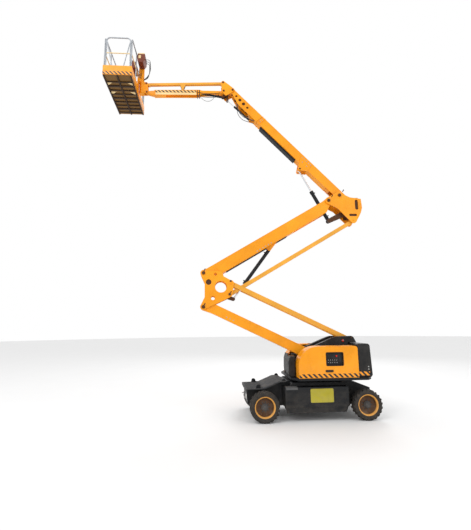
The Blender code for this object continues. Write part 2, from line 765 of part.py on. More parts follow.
def mid_link():
    low = MID_LOW_PIN
    place = frame_at(low)
    top = (0, MID_LINK_HEIGHT)
    rod_pin = LOWER_ROD_OFFSET
    upper_rod_pin = shifted(top, UPPER_ROD_OFFSET)
    base = shifted(top, RISER_CYLINDER_BASE)
    outline = (
        arc((0.0, 0.0), 0.085, 150, 330, 8)
        + arc(upper_rod_pin, 0.075, 285, 350, 4)
        + arc(rod_pin, 0.080, 0, 95, 5)
        + [(0.53, 0.80)]
        + arc((0.44, 0.87), 0.07, 20, 85, 3)
        + arc(top, 0.085, 60, 210, 8)
        + [(0.03, 0.62), (0.03, 0.25)]
    )
    walls = both_sides(lambda y: plate(place, outline, y), PLATE_LANE)
    windows = [
        pin_across(place, point, radius, (-0.3, 0.3), sides)
        for point, radius, sides in (
            ((0.457, 0.527), 0.155, 28),
            ((0.246, 0.228), 0.055, 16),
            ((0.133, 0.650), 0.075, 16),
            ((0.313, 0.860), 0.040, 12),
        )
    ]
    inner = PLATE_LANE[0] + 0.004
    ties = [pin_across(place, point, 0.035, (-inner, inner), 16) for point in ((0.10, 0.44), (0.52, 0.30))]
    pins = [
        pin_across(place, point, radius, (side * start, side * (PLATE_LANE[1] + 0.015)))
        for side in (1, -1)
        for point, radius, start in (
            ((0, 0), 0.035, 0.141),
            (top, 0.035, 0.141),
            (rod_pin, 0.025, 0.121),
            (upper_rod_pin, 0.025, 0.086),
        )
    ]
    # Twin lugs for the riser cylinder's eye, carried by the tie below the big window.
    lugs = both_sides(
        lambda y: plate(place, around([(*base, 0.045), (0.52, 0.30, 0.05)]), y), (0.042, 0.062)
    )
    part("mid_link", YELLOW, [walls[0]] + ties + lugs + pins[:4] + [walls[1]] + pins[4:], windows)


def upper_riser():
    place = frame_at(MID_TOP_PIN, -UPPER_RISER_ANGLE)
    low, high = UPPER_RISER_SECTION
    reach = UPPER_RISER_LENGTH
    half = RISER_HALF_WIDTH
    outline = (
        arc((0, 0), 0.085, 105, 255, 8)
        + [(0.42, low), (reach - 0.22, low)]
        + arc((reach, 0), 0.10, -75, 70, 8)
        + [(reach - 0.16, high), (0.16, high)]
    )
    body = plate(place, outline, (-half, half))
    slot = box(place, (2.75, reach + 0.3), (-SLOT_HALF_WIDTH, SLOT_HALF_WIDTH), (low - 0.1, high + 0.2))
    bores = [
        bore(place, point, 0.035, y)
        for point in ((0, 0), (reach, 0))
        for y in ((0.13, 0.2), (-0.2, -0.13))
    ]
    eye = RISER_CYLINDER_EYE
    foot = [(eye[0] - 0.06, low + 0.03, 0.01), (eye[0] + 0.34, low + 0.03, 0.01), (*eye, 0.045)]
    lugs = both_sides(lambda y: plate(place, around(foot), y), (0.048, 0.070))
    pin = pin_across(place, eye, 0.022, (-0.085, 0.085))
    part("upper_riser", YELLOW, [body] + lugs + [pin], [slot] + bores, "MANIFOLD")


def top_link():
    place = frame_at(TOP_PIN)
    rod_pin = UPPER_ROD_OFFSET
    boom_pin = BOOM_PIVOT_OFFSET
    base = LUFF_BASE_OFFSET
    outline = (
        arc((0, 0), 0.095, 135, 235, 5)
        + [(0.24, -0.22)]
        + arc(rod_pin, 0.085, 215, 330, 6)
        + [(0.90, -0.36), (0.95, -0.20), (0.93, 0.06), (0.62, 0.10)]
        + arc(boom_pin, 0.115, 15, 110, 5)
        + [(0.10, 0.16)]
    )
    walls = both_sides(lambda y: plate(place, outline, y), PLATE_LANE)
    slots = [
        plate(place, around(discs, 16), (-0.3, 0.3))
        for discs in (
            [(0.796, -0.01, 0.045), (0.796, -0.215, 0.045)],
            [(0.60, -0.415, 0.035), (0.755, -0.415, 0.035)],
        )
    ]
    inner = PLATE_LANE[0] + 0.004
    tie = pin_across(place, (0.46, -0.335), 0.05, (-inner, inner), 16)
    back = box(place, (0.885, 0.905), (-inner, inner), (-0.34, 0.02))
    lug_outline = around([(*base, 0.055), (0.46, -0.335, 0.075)])
    lugs = both_sides(lambda y: plate(place, lug_outline, y), (0.056, CENTRE_LANE))
    base_pin = pin_across(place, base, 0.028, (-CENTRE_LANE + 0.005, CENTRE_LANE - 0.005))
    pins = [
        pin_across(place, point, radius, (side * start, side * (PLATE_LANE[1] + 0.015)), sides)
        for side in (1, -1)
        for point, radius, start, sides in (
            ((0, 0), 0.035, 0.131, 12),
            (boom_pin, 0.035, 0.085, 24),
            (rod_pin, 0.025, 0.086, 12),
        )
    ]
    bosses = [
        pin_across(place, boom_pin, 0.065, (side * (BOOM_HALF_WIDTH + CLEARANCE), side * inner))
        for side in (1, -1)
    ]
    shapes = [walls[0], tie, back] + lugs + [base_pin] + [walls[1]] + bosses + pins
    part("top_link", YELLOW, shapes, slots)


# ---- Boom ----------------------------------------------------------------------------------

def main_boom():
    place = frame_at(BOOM_PIVOT, BOOM_ANGLE)
    low, high = BOOM_SECTION
    half = BOOM_HALF_WIDTH
    outer = box(place, (-BOOM_LENGTH, BOOM_TAIL), (-half, half), (low, high))
    inside = box(
        place,
        (-BOOM_LENGTH - 0.1, BOOM_TAIL + 0.1),
        (-half + BOOM_WALL, half - BOOM_WALL),
        (low + BOOM_WALL, high - BOOM_WALL),
    )
    pivot_hole = bore(place, (0, 0), 0.035, (-0.3, 0.3))
    tail_relief = box(place, (-0.42, BOOM_TAIL + 0.1), (-0.2, 0.2), (low - 0.1, low + 0.016))
    eye = LUFF_EYE
    outline = [
        (-eye[0] + 0.20, low - 0.02),
        (-eye[0] + 0.16, high - 0.05),
        (-eye[0] - 0.20, high - 0.05),
        (-eye[0] - 0.24, high - 0.10),
    ] + arc((-eye[0], eye[1]), 0.05, 200, 340, 6)
    cheeks = both_sides(lambda y: plate(place, outline, y), (half - 0.006, half + 0.014))
    lugs = both_sides(
        lambda y: plate(
            place,
            around([(-eye[0], eye[1], 0.05), (-eye[0] - 0.10, low, 0.012), (-eye[0] + 0.16, low, 0.012)]),
            y,
        ),
        (0.046, CENTRE_LANE),
    )
    pins = [
        pin_across(place, (-eye[0], eye[1]), 0.022, (side * 0.048, side * (half + 0.01))) for side in (1, -1)
    ]
    part("main_boom", YELLOW, [outer] + cheeks + lugs + pins, [inside, pivot_hole, tail_relief])
    tray = box(place, (-3.02, -1.62), (-0.085, 0.085), (low - 0.055, low - GAP))
    hollow = box(place, (-3.1, -1.5), (-0.073, 0.073), (low - 0.043, low - 0.012))
    part("hose_tray", BLACK, [tray], [hollow])


def boom_extension():
    place = frame_at(BOOM_PIVOT, BOOM_ANGLE)
    low, high = BOOM_SECTION
    slide = BOOM_WALL + CLEARANCE
    half = BOOM_HALF_WIDTH
    inner = box(
        place,
        (-BOOM_LENGTH - 0.06, -EXTENSION_TAIL),
        (-half + slide, half - slide),
        (low + slide, high - slide),
    )
    collar = box(place, (-3.56, -BOOM_LENGTH - 0.010), (-half, half), (low, high))
    head = HEAD_PIN
    outline = [
        (-3.50, low + 0.001),
        (-3.93, low - 0.006),
        (-head[0] + 0.02, head[1] - 0.068),
    ] + arc((-head[0], head[1]), 0.068, 265, 110, 6) + [(-4.30, high - 0.001), (-3.50, high - 0.001)]
    walls = both_sides(lambda y: plate(place, outline, y), (0.094, half - 0.001))
    cap = box(place, (-4.02, -3.52), (-0.1, 0.1), (high - 0.014, high - 0.003))
    holes = [
        pin_across(place, (-along, above), radius, (-0.3, 0.3), 14)
        for along, above, radius in (
            (4.18, 0.062, 0.035),
            (4.02, 0.050, 0.047),
            (3.86, 0.042, 0.050),
            (3.70, 0.038, 0.036),
        )
    ]
    holes.append(bore(place, (-head[0], head[1]), 0.025, (-0.3, 0.3)))
    pads = [
        box(place, (-EXTENSION_TAIL - 0.16, -EXTENSION_TAIL - 0.02), (-0.06, 0.06), z)
        for z in (
            (low + BOOM_WALL + PIN_GAP, low + slide + 0.003),
            (high - slide - 0.003, high - BOOM_WALL - PIN_GAP),
        )
    ]
    core = box(
        place,
        (-BOOM_LENGTH + 0.4, -EXTENSION_TAIL + 0.1),
        (-half + slide + 0.01, half - slide - 0.01),
        (low + slide + 0.01, high - slide - 0.01),
    )
    base = SLAVE_BASE
    lug = around([(-base[0], base[1], 0.035), (-base[0] - 0.05, low + 0.005, 0.01), (-base[0] + 0.09, low + 0.005, 0.01)])
    lugs = both_sides(lambda y: plate(place, lug, y), (0.030, 0.048))
    pin = pin_across(place, (-base[0], base[1]), 0.016, (-0.056, 0.056), 14)
    part("boom_extension", YELLOW, [inner, collar, cap] + pads + walls + lugs + [pin], [core] + holes)


def knuckle():
    place = frame_at(KNUCKLE_PIN)
    upper = JIB_UPPER_OFFSET
    lower = JIB_LOWER_OFFSET
    slave = SLAVE_EYE_OFFSET
    outline = (
        arc((0, 0), 0.055, -60, 60, 5)
        + [(-0.12, 0.17)]
        + arc(upper, 0.050, 60, 190, 6)
        + [(lower[0] - 0.055, lower[1] + 0.05)]
        + arc(lower, 0.055, 180, 235, 3)
        + [(-0.20, -0.19)]
    )
    lane = (BOOM_HALF_WIDTH + CLEARANCE, BOOM_HALF_WIDTH + 0.026)
    walls = both_sides(lambda y: plate(place, outline, y), lane)
    web = box(place, (-0.172, -0.118), (-lane[0] - 0.004, lane[0] + 0.004), (-0.145, 0.115))
    slave_lug = both_sides(
        lambda y: plate(place, around([(*slave, 0.034), (-0.147, -0.11, 0.022)]), y), (0.028, 0.046)
    )
    cylinder_lug = both_sides(
        lambda y: plate(place, around([(*JIB_CYLINDER_OFFSET, 0.030), (-0.144, -0.10, 0.024)]), y),
        (0.033, 0.0455),
    )
    pins = [
        pin_across(place, (0, 0), 0.025, (side * 0.09, side * (lane[1] + 0.012)), 24)
        for side in (1, -1)
    ] + [
        pin_across(place, lower, 0.022, (side * 0.049, side * (lane[1] + 0.008)))
        for side in (1, -1)
    ]
    upper_pin = pin_across(place, upper, 0.022, (-lane[1] - 0.008, lane[1] + 0.008))
    jib_base_pin = pin_across(place, JIB_CYLINDER_OFFSET, 0.015, (-0.040, 0.040), 14)
    shapes = [walls[0], web, upper_pin] + slave_lug + cylinder_lug + [jib_base_pin, walls[1]] + pins
    part("jib_knuckle", YELLOW, shapes)


# ---- Cylinders -------------------------------------------------------------------------------

def cylinder(name, base, eye, radii, barrel_length, half_width, bores, closes):
    """A barrel from its base pin and a rod from its eye, which goes in by `closes` from rest."""
    barrel_radius, rod_radius = radii
    run = Vector((eye[0] - base[0], 0, eye[1] - base[1]))
    turn = Vector((-1, 0, 0)).rotation_difference(run).to_matrix().to_4x4()
    place = Matrix.Translation((SLEW_X + base[0], 0, base[1])) @ turn
    eye_radius = barrel_radius * 0.9
    bottom = eye_radius + 0.008
    barrel = rod(place, (-eye_radius * 0.6, 0, 0), (-barrel_length, 0, 0), barrel_radius)
    base_eye = pin_across(place, (0, 0), eye_radius, (-half_width, half_width))
    gland = rod(place, (-barrel_length + 0.06, 0, 0), (-barrel_length - 0.01, 0, 0), barrel_radius * 1.12)
    inside = rod(place, (-bottom, 0, 0), (-barrel_length - 0.1, 0, 0), rod_radius + PIN_GAP, 16)
    hole = bore(place, (0, 0), bores[0], (-0.2, 0.2))
    part(f"{name}_barrel", BLACK, [barrel, base_eye, gland], [inside, hole])
    inner_end = bottom + 0.006 + closes
    rod_place = place @ Matrix.Translation((-run.length, 0, 0))
    bar = rod(rod_place, (-0.008, 0, 0), (run.length - inner_end, 0, 0), rod_radius, 16)
    rod_eye = pin_across(rod_place, (0, 0), max(eye_radius * 0.85, rod_radius * 1.3), (-half_width, half_width))
    eye_hole = bore(rod_place, (0, 0), bores[1], (-0.2, 0.2))
    part(f"{name}_rod", CHROME, [bar, rod_eye], [eye_hole])


def cylinders():
    cylinder("riser_cylinder", RISER_EYE_PIN, RISER_BASE_PIN, (0.048, 0.026), 1.18, 0.036, (0.022, 0.02), 0.450)
    cylinder("luff_cylinder", LUFF_BASE, LUFF_EYE_PIN, (0.050, 0.026), 0.98, 0.040, (0.028, 0.022), 0.480)
    cylinder("slave_cylinder", SLAVE_BASE_PIN, SLAVE_EYE_PIN, (0.026, 0.013), 0.62, 0.022, (0.016, 0.015), 0.135)
    cylinder("jib_cylinder", JIB_CYLINDER_PIN, JIB_LUG_PIN, (0.030, 0.015), 0.77, 0.020, (0.015, 0.014), 0.355)


# ---- Jib and platform ---------------------------------------------------------------------------

def jib():
    lower_arm()
    upper_arm()
    bracket()


def lower_arm():
    place = frame_at(JIB_LOWER_PIN)
    dx, dz = JIB_REACH
    outline = (
        arc((0, 0), 0.040, -80, 80, 6)
        + [(-0.62, 0.030), (-0.72, 0.055), (dx + 0.22, dz + 0.062)]
        + arc((dx, dz), 0.036, 100, 260, 6)
        + [(dx + 0.22, dz - 0.096), (-0.72, -0.103), (-0.62, -0.060)]
    )
    body = plate(place, outline, (-0.075, 0.075))
    slot = box(place, (-1.68, 0.2), (-0.048, 0.048), (-0.4, 0.4))
    narrow = [
        box(place, (dx - 0.2, dx + 0.22), (side * 0.045, side * 0.2), (-0.4, 0.3)) for side in (1, -1)
    ]
    bores = [
        bore(place, (0, 0), 0.022, (-0.3, 0.3)),
        bore(place, (dx, dz), 0.020, (-0.3, 0.3)),
    ]
    part("jib_lower_arm", YELLOW, [body], [slot] + narrow + bores)


def upper_arm():
    place = frame_at(JIB_UPPER_PIN)
    dx, dz = JIB_REACH
    # Two flat bars, with room between them for the cylinder's rod.
    strip = [(-0.05, 0.019), (dx + 0.075, dz - 0.036), (dx + 0.075, dz + 0.028), (-0.05, 0.081)]
    bars = both_sides(lambda y: plate(place, strip, y), (0.026, 0.040))
    eyes = [
        plate(place, around([(0, 0, 0.036), (-0.06, 0.045, 0.034)]), (-0.042, 0.042)),
        plate(place, around([(dx, dz, 0.036), (dx + 0.08, dz - 0.02, 0.034)]), (-0.042, 0.042)),
    ]
    lug = JIB_LUG_OFFSET
    tabs = both_sides(
        lambda y: plate(place, around([(*lug, 0.026), (lug[0] - 0.08, 0.0, 0.012), (lug[0] + 0.08, 0.004, 0.012)]), y),
        (0.0345, 0.042),
    )
    pins = [pin_across(place, lug, 0.014, (side * 0.036, side * 0.045), 14) for side in (1, -1)]
    bores = [
        bore(place, (0, 0), 0.022, (-0.3, 0.3)),
        bore(place, (dx, dz), 0.020, (-0.3, 0.3)),
    ]
    part("jib_upper_arm", YELLOW, bars + eyes + tabs + pins, bores)


def bracket():
    place = frame_at(BRACKET_LOWER_PIN)
    upper = shifted(JIB_UPPER_OFFSET, (-JIB_LOWER_OFFSET[0], -JIB_LOWER_OFFSET[1]))
    outline = around([(0, 0, 0.042), (*upper, 0.042), (ROTATOR_OFFSET, 0.0, 0.04), (ROTATOR_OFFSET, 0.26, 0.04)])
    walls = both_sides(lambda y: plate(place, outline, y), (0.050, 0.064))
    drum = rod(place, (ROTATOR_OFFSET, 0, -0.05), (ROTATOR_OFFSET, 0, 0.30), ROTATOR_RADIUS, 28)
    pins = [
        pin_across(place, point, 0.020, (-0.072, 0.072), 16) for point in ((0, 0), upper)
    ]
    part("platform_bracket", YELLOW, [drum] + walls + pins)


def platform():
    support()
    floor_and_toe_boards()
    rails()
    gate()
    controls()


def support():
    top_of_drum = BRACKET_LOWER_PIN[1] + 0.30
    high = PLATFORM_BOTTOM + PLATFORM_HEIGHT
    place = frame_at((ROTATOR_X, 0))
    post = rod(place, (0, 0, top_of_drum + CLEARANCE), (0, 0, high - 0.08), POST_RADIUS, 20)
    cap = rod(place, (0, 0, top_of_drum + CLEARANCE), (0, 0, top_of_drum + 0.04), ROTATOR_RADIUS, 24)
    back = PLATFORM_BACK
    web = box(place, (back + GAP, 0), (-0.03, 0.03), (top_of_drum + 0.012, high - 0.10))
    wall = box(
        place,
        (back + GAP, back + 0.018),
        (-0.20, 0.20),
        (PLATFORM_BOTTOM + 0.02, PLATFORM_BOTTOM + TOE_BOARD_HEIGHT + 0.22),
    )
    part("platform_support", YELLOW, [post, cap, web, wall])


def platform_place():
    return frame_at((ROTATOR_X, PLATFORM_BOTTOM))


def floor_and_toe_boards():
    place = platform_place()
    front = PLATFORM_FRONT_X - ROTATOR_X
    back = PLATFORM_BACK
    half = PLATFORM_LENGTH / 2
    floor = box(place, (front, back), (-half, half), (0, FLOOR_THICKNESS))
    boards = [
        box(place, (front, front + TOE_BOARD), (-half, half), (0.01, TOE_BOARD_HEIGHT)),
        box(place, (back - TOE_BOARD, back), (-half, half), (0.01, TOE_BOARD_HEIGHT)),
        box(place, (front, back), (-half, -half + TOE_BOARD), (0.01, TOE_BOARD_HEIGHT)),
        box(place, (front, back), (half - TOE_BOARD, half), (0.01, GATE_STEP_HEIGHT)),
    ]
    part("platform_floor", YELLOW, [floor] + boards)


def rail_panel(name, place, span, posts, braces):
    """Rails between two ends along the place's Y, with posts and slanting braces."""
    low = FLOOR_THICKNESS + GAP
    top = PLATFORM_HEIGHT - RAIL_RADIUS
    radius = 0.10
    start, end = span
    corner_a = [(0, start + radius - radius * cos(radians(a)), top - radius + radius * sin(radians(a))) for a in (0, 30, 60, 90)]
    corner_b = [(0, end - radius + radius * cos(radians(a)), top - radius + radius * sin(radians(a))) for a in (90, 60, 30, 0)]
    hoop = tube(place, [(0, start, low)] + corner_a + corner_b + [(0, end, low)], RAIL_RADIUS)
    others = [tube(place, [(0, start, MID_RAIL_HEIGHT), (0, end, MID_RAIL_HEIGHT)], RAIL_RADIUS * 0.8)]
    for y in posts:
        others.append(tube(place, [(0, y, low), (0, y, top)], RAIL_RADIUS * 0.9))
    for (y1, z1), (y2, z2) in braces:
        others.append(tube(place, [(0, y1, z1), (0, y2, z2)], RAIL_RADIUS * 0.7))
    part(name, STEEL, [hoop] + others)


def rails():
    half = PLATFORM_LENGTH / 2 - TOE_BOARD - RAIL_RADIUS - 0.003
    front = frame_at((PLATFORM_FRONT_X + TOE_BOARD + RAIL_RADIUS + 0.003, PLATFORM_BOTTOM))
    back = frame_at((PLATFORM_REAR_X - TOE_BOARD - RAIL_RADIUS - 0.003, PLATFORM_BOTTOM))
    rail_panel("front_rail", front, (-half, half), (-0.30, 0.30), ())
    rail_panel("rear_rail", back, (-half, half), (-0.30, 0.30), ())
    width = PLATFORM_DEPTH - 2 * (TOE_BOARD + RAIL_RADIUS + 0.003)
    side_half = width / 2 - 2 * RAIL_RADIUS - 0.002
    middle = (PLATFORM_FRONT_X + PLATFORM_REAR_X) / 2
    near = frame_at((middle, PLATFORM_BOTTOM), y=-half) @ Matrix.Rotation(radians(90), 4, "Z")
    top = PLATFORM_HEIGHT - RAIL_RADIUS
    low = FLOOR_THICKNESS + 0.02
    braces = (
        ((side_half - 0.02, top - 0.10), (side_half * 0.35, low)),
        ((-side_half + 0.02, top - 0.10), (-side_half * 0.35, low)),
    )
    rail_panel("left_rail", near, (-side_half, side_half), (0.0,), braces)


def gate():
    half = PLATFORM_LENGTH / 2 - TOE_BOARD - RAIL_RADIUS - 0.003
    hinge_x = PLATFORM_FRONT_X + TOE_BOARD + 3 * RAIL_RADIUS + 0.005
    latch_x = PLATFORM_REAR_X - TOE_BOARD - 3 * RAIL_RADIUS - 0.006
    place = frame_at((hinge_x, PLATFORM_BOTTOM), y=half)
    low = GATE_STEP_HEIGHT + RAIL_RADIUS + 0.006
    top = PLATFORM_HEIGHT - RAIL_RADIUS
    wide = latch_x - hinge_x
    loop = [(0, 0, low), (0, 0, top), (wide, 0, top), (wide, 0, low), (0, 0, low)]
    bars = [tube(place, [a, b], RAIL_RADIUS) for a, b in zip(loop, loop[1:])]
    corners = [
        rod(place, (x, 0, z - RAIL_RADIUS), (x, 0, z + RAIL_RADIUS), RAIL_RADIUS * 1.10, 12)
        for x in (0, wide)
        for z in (low, top)
    ]
    mid = tube(place, [(0, 0, MID_RAIL_HEIGHT), (wide, 0, MID_RAIL_HEIGHT)], RAIL_RADIUS * 0.8)
    post = tube(place, [(wide / 2, 0, low), (wide / 2, 0, top)], RAIL_RADIUS * 0.8)
    part("gate", STEEL, [bars[0], corners[0], corners[1], bars[1], bars[3]] + corners[2:] + [bars[2], mid, post])


def controls():
    place = platform_place()
    inner = PLATFORM_BACK - TOE_BOARD - 2 * RAIL_RADIUS - 0.006
    console = box(place, (inner - 0.16, inner - GAP), (-0.27, 0.10), (0.72, 0.92))
    slope = box(place @ Matrix.Translation((inner - 0.16, 0, 0.92)) @ Matrix.Rotation(radians(-25), 4, "Y"), (-0.2, 0.4), (-0.4, 0.4), (0, 0.2))
    # A bar behind the console lies against both posts of the rear rail.
    bar = box(place, (inner - 0.02, inner + 0.0044 - GAP), (-0.33, 0.33), (0.78, 0.83))
    part("control_console", BLACK, [console, bar], [slope])
    pedal = box(place, (inner - 0.30, inner - 0.12), (-0.42, -0.26), (FLOOR_THICKNESS + GAP, FLOOR_THICKNESS + 0.09))
    part("foot_switch", BLACK, [pedal])


chassis()
axles()
wheels()
turntable()
fairing()
lower_riser()
rods()
mid_link()
upper_riser()
top_link()
main_boom()
boom_extension()
knuckle()
cylinders()
jib()
platform()
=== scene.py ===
"""Looks of an articulating boom lift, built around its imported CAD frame."""

import json
import math

import bmesh
import bpy
from mathutils import Matrix, Vector


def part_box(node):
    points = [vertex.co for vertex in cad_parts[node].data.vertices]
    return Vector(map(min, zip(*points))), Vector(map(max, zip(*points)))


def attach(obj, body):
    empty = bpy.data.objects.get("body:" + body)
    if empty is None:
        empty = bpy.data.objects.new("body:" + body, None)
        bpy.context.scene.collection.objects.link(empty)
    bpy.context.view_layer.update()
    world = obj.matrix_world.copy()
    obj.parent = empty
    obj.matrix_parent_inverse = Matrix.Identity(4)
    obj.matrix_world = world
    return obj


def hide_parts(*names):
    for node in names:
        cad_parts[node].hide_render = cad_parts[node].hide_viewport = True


bl_info = {
    "name": "Boom lift finish",
    "version": (1, 0, 0),
    "blender": (4, 5, 0),
    "location": "View3D > Sidebar > Boom lift",
    "description": "Paint, tyres, rails, hoses and fittings for an articulating boom lift",
    "category": "Object",
}

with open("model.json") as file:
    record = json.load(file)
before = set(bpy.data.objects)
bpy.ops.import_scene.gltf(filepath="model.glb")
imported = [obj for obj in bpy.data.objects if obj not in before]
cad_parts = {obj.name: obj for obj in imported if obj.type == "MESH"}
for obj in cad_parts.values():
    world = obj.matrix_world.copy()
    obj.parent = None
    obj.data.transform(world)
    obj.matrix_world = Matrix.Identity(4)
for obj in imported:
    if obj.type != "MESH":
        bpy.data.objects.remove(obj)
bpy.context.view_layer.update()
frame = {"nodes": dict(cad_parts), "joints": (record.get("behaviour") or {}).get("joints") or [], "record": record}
JOINTS = {joint["name"]: joint for joint in frame["joints"]}
BODY_OF = {
    node: body for body, nodes in frame["record"]["behaviour"]["bodies"].items() for node in nodes
}
NEAR, FAR = -1, 1  # the -Y side, with the ground controls, and the +Y side


# ---- Places on the machine -------------------------------------------------------------

def pin(joint):
    """Where a joint's axis is, in the shared frame."""
    return Vector(JOINTS[joint]["pos_m"])


class Arm:
    """A frame on a tilted piece: distance along it, Y across the machine, height above it."""

    def __init__(self, origin, towards):
        self.origin = Vector(origin)
        self.along = (Vector(towards) - self.origin).normalized()
        self.along.y = 0
        self.along.normalize()
        self.up = Vector((-self.along.z, 0, self.along.x))
        if self.up.z < 0:
            self.up.negate()

    def at(self, along, y, above):
        return self.origin + self.along * along + Vector((0, y, 0)) + self.up * above


WORLD = Arm((0, 0, 0), (1, 0, 0))
TOWER = pin("riser_lift")
SLEW_X = pin("slew").x
LOWER_RISER = Arm(TOWER, pin("mid_link_pivot"))
UPPER_RISER = Arm(pin("upper_riser_pivot"), pin("top_link_pivot"))
BOOM = Arm(pin("boom_luff"), pin("boom_luff") + Vector(JOINTS["telescope"]["axis"]))
HEAD = pin("knuckle_level")
JIB_LOWER = Arm(pin("jib_luff"), pin("bracket_level"))


# ---- Mesh making -------------------------------------------------------------------------

def bar(bm, start, end, radius, sides=24, end_radius=None):
    """A round bar or cone between two points."""
    start, end = Vector(start), Vector(end)
    turn = Vector((0, 0, 1)).rotation_difference(end - start).to_matrix().to_4x4()
    bmesh.ops.create_cone(
        bm,
        cap_ends=True,
        segments=sides,
        radius1=radius,
        radius2=radius if end_radius is None else end_radius,
        depth=(end - start).length,
        matrix=Matrix.Translation((start + end) / 2) @ turn,
    )


def across(side, first, second):
    """Two distances out from the middle of the machine, as Y values in rising order."""
    return sorted((side * first, side * second))


def brick(bm, arm, along, y, above):
    """A block between pairs of distances in an arm's frame."""
    made = bmesh.ops.create_cube(bm, size=1)["verts"]
    for vertex in made:
        a, b, c = (0 if value < 0 else 1 for value in vertex.co)
        vertex.co = arm.at(along[a], y[b], above[c])
    faces = {face for vertex in made for face in vertex.link_faces}
    bmesh.ops.recalc_face_normals(bm, faces=list(faces))


def slab(bm, arm, outline, y):
    """A flat plate across Y, from its outline as (along, above)."""
    low = [bm.verts.new(arm.at(a, y[0], h)) for a, h in outline]
    high = [bm.verts.new(arm.at(a, y[1], h)) for a, h in outline]
    faces = [bm.faces.new(low), bm.faces.new(high[::-1])]
    for i in range(len(outline)):
        j = (i + 1) % len(outline)
        faces.append(bm.faces.new((low[i], high[i], high[j], low[j])))
    bmesh.ops.recalc_face_normals(bm, faces=faces)


def turned(bm, centre, axis, profile, sides=64):
    """A turned shape: its closed profile, as (radius, distance along the axis), spun round."""
    turn = Vector((0, 0, 1)).rotation_difference(Vector(axis)).to_matrix().to_4x4()
    place = Matrix.Translation(Vector(centre)) @ turn
    rings = []
    for step in range(sides):
        angle = math.tau * step / sides
        rings.append([
            bm.verts.new(place @ Vector((r * math.cos(angle), r * math.sin(angle), h)))
            for r, h in profile
        ])
    faces = []
    for ring, following in zip(rings, rings[1:] + rings[:1]):
        for i in range(len(profile)):
            j = (i + 1) % len(profile)
            faces.append(bm.faces.new((ring[i], ring[j], following[j], following[i])))
    bmesh.ops.recalc_face_normals(bm, faces=faces)


def bolt(bm, point, outward, size):
    """A hexagon head on a washer; size is the head's radius."""
    point, outward = Vector(point), Vector(outward).normalized()
    bar(bm, point - outward * 0.001, point + outward * size * 0.22, size * 1.35, 20)
    bar(bm, point, point + outward * size * 0.95, size, 6, size * 0.94)


def pin_end(bm, point, side, radius):
    """What shows of a pivot pin: its end, the chamfer round it and a nipple in the middle."""
    out = Vector((0, side, 0))
    point = Vector(point)
    bar(bm, point - out * 0.004, point + out * 0.012, radius * 0.98, 32)
    bar(bm, point + out * 0.012, point + out * 0.016, radius * 0.98, 32, radius * 0.84)
    bar(bm, point + out * 0.015, point + out * 0.018, radius * 0.22, 16)


def smooth_by_angle(mesh, degrees=32):
    """Smooth shading that keeps an edge sharper than the angle."""
    mesh.shade_smooth()
    mesh.set_sharp_from_angle(angle=math.radians(degrees))


def piece(name, bm, finish, body, bevel=0.0, sharp=32):
    """A finished object from a mesh under construction, riding on a body."""
    mesh = bpy.data.meshes.new(name)
    bm.to_mesh(mesh)
    bm.free()
    mesh.materials.append(finish)
    item = bpy.data.objects.new(name, mesh)
    bpy.context.scene.collection.objects.link(item)
    smooth_by_angle(mesh, sharp)
    if bevel:
        round_edges(item, bevel)
    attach(item, body)
    return item


def round_edges(item, width, segments=2):
    """A bevel on every edge sharper than a shallow bend."""
    step = item.modifiers.new("rounded edges", "BEVEL")
    step.width = width
    step.segments = segments
    step.limit_method = "ANGLE"
    step.angle_limit = math.radians(34)
    step.miter_outer = "MITER_ARC"
    step.harden_normals = True


def rounded_node(node, finish, width, inner=None, is_inner=None):
    """A CAD node's shape with real rounded edges; faces that is_inner picks take another finish."""
    bm = bmesh.new()
    bm.from_mesh(frame["nodes"][node].data)
    bmesh.ops.remove_doubles(bm, verts=bm.verts, dist=0.0004)
    bmesh.ops.dissolve_limit(
        bm,
        angle_limit=math.radians(0.6),
        verts=bm.verts,
        edges=bm.edges,
        delimit=set(),
    )
    for face in bm.faces:
        face.material_index = 0
        if is_inner and is_inner(face.calc_center_median(), face.normal):
            face.material_index = 1
    item = piece(f"{node}_finished", bm, finish, BODY_OF[node], width)
    if inner:
        item.data.materials.append(inner)
    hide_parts(node)
    return item


def hose(name, points, radius, finish, body, slot="black_moulding", smooth=True, closed=False):
    """A hose or tube along a smooth curve through its points."""
    curve = bpy.data.curves.new(name, "CURVE")
    curve.dimensions = "3D"
    curve.bevel_depth = radius
    curve.bevel_resolution = 4 if smooth else 5
    curve.use_fill_caps = True
    curve.resolution_u = 8
    spline = curve.splines.new("BEZIER" if smooth else "POLY")
    spline.use_cyclic_u = closed
    knots = spline.bezier_points if smooth else spline.points
    knots.add(len(points) - 1)
    for knot, point in zip(knots, points):
        if smooth:
            knot.co = point
            knot.handle_left_type = knot.handle_right_type = "AUTO"
        else:
            knot.co = (*point, 1)
    guide = bpy.data.objects.new(f"{name}_guide", curve)
    bpy.context.scene.collection.objects.link(guide)
    mesh = bpy.data.meshes.new_from_object(guide.evaluated_get(bpy.context.evaluated_depsgraph_get()))
    bpy.data.objects.remove(guide)
    mesh.name = name
    mesh.materials.clear()
    mesh.materials.append(finish)
    item = bpy.data.objects.new(name, mesh)
    bpy.context.scene.collection.objects.link(item)
    smooth_by_angle(mesh, 40)
    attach(item, body)
    return item


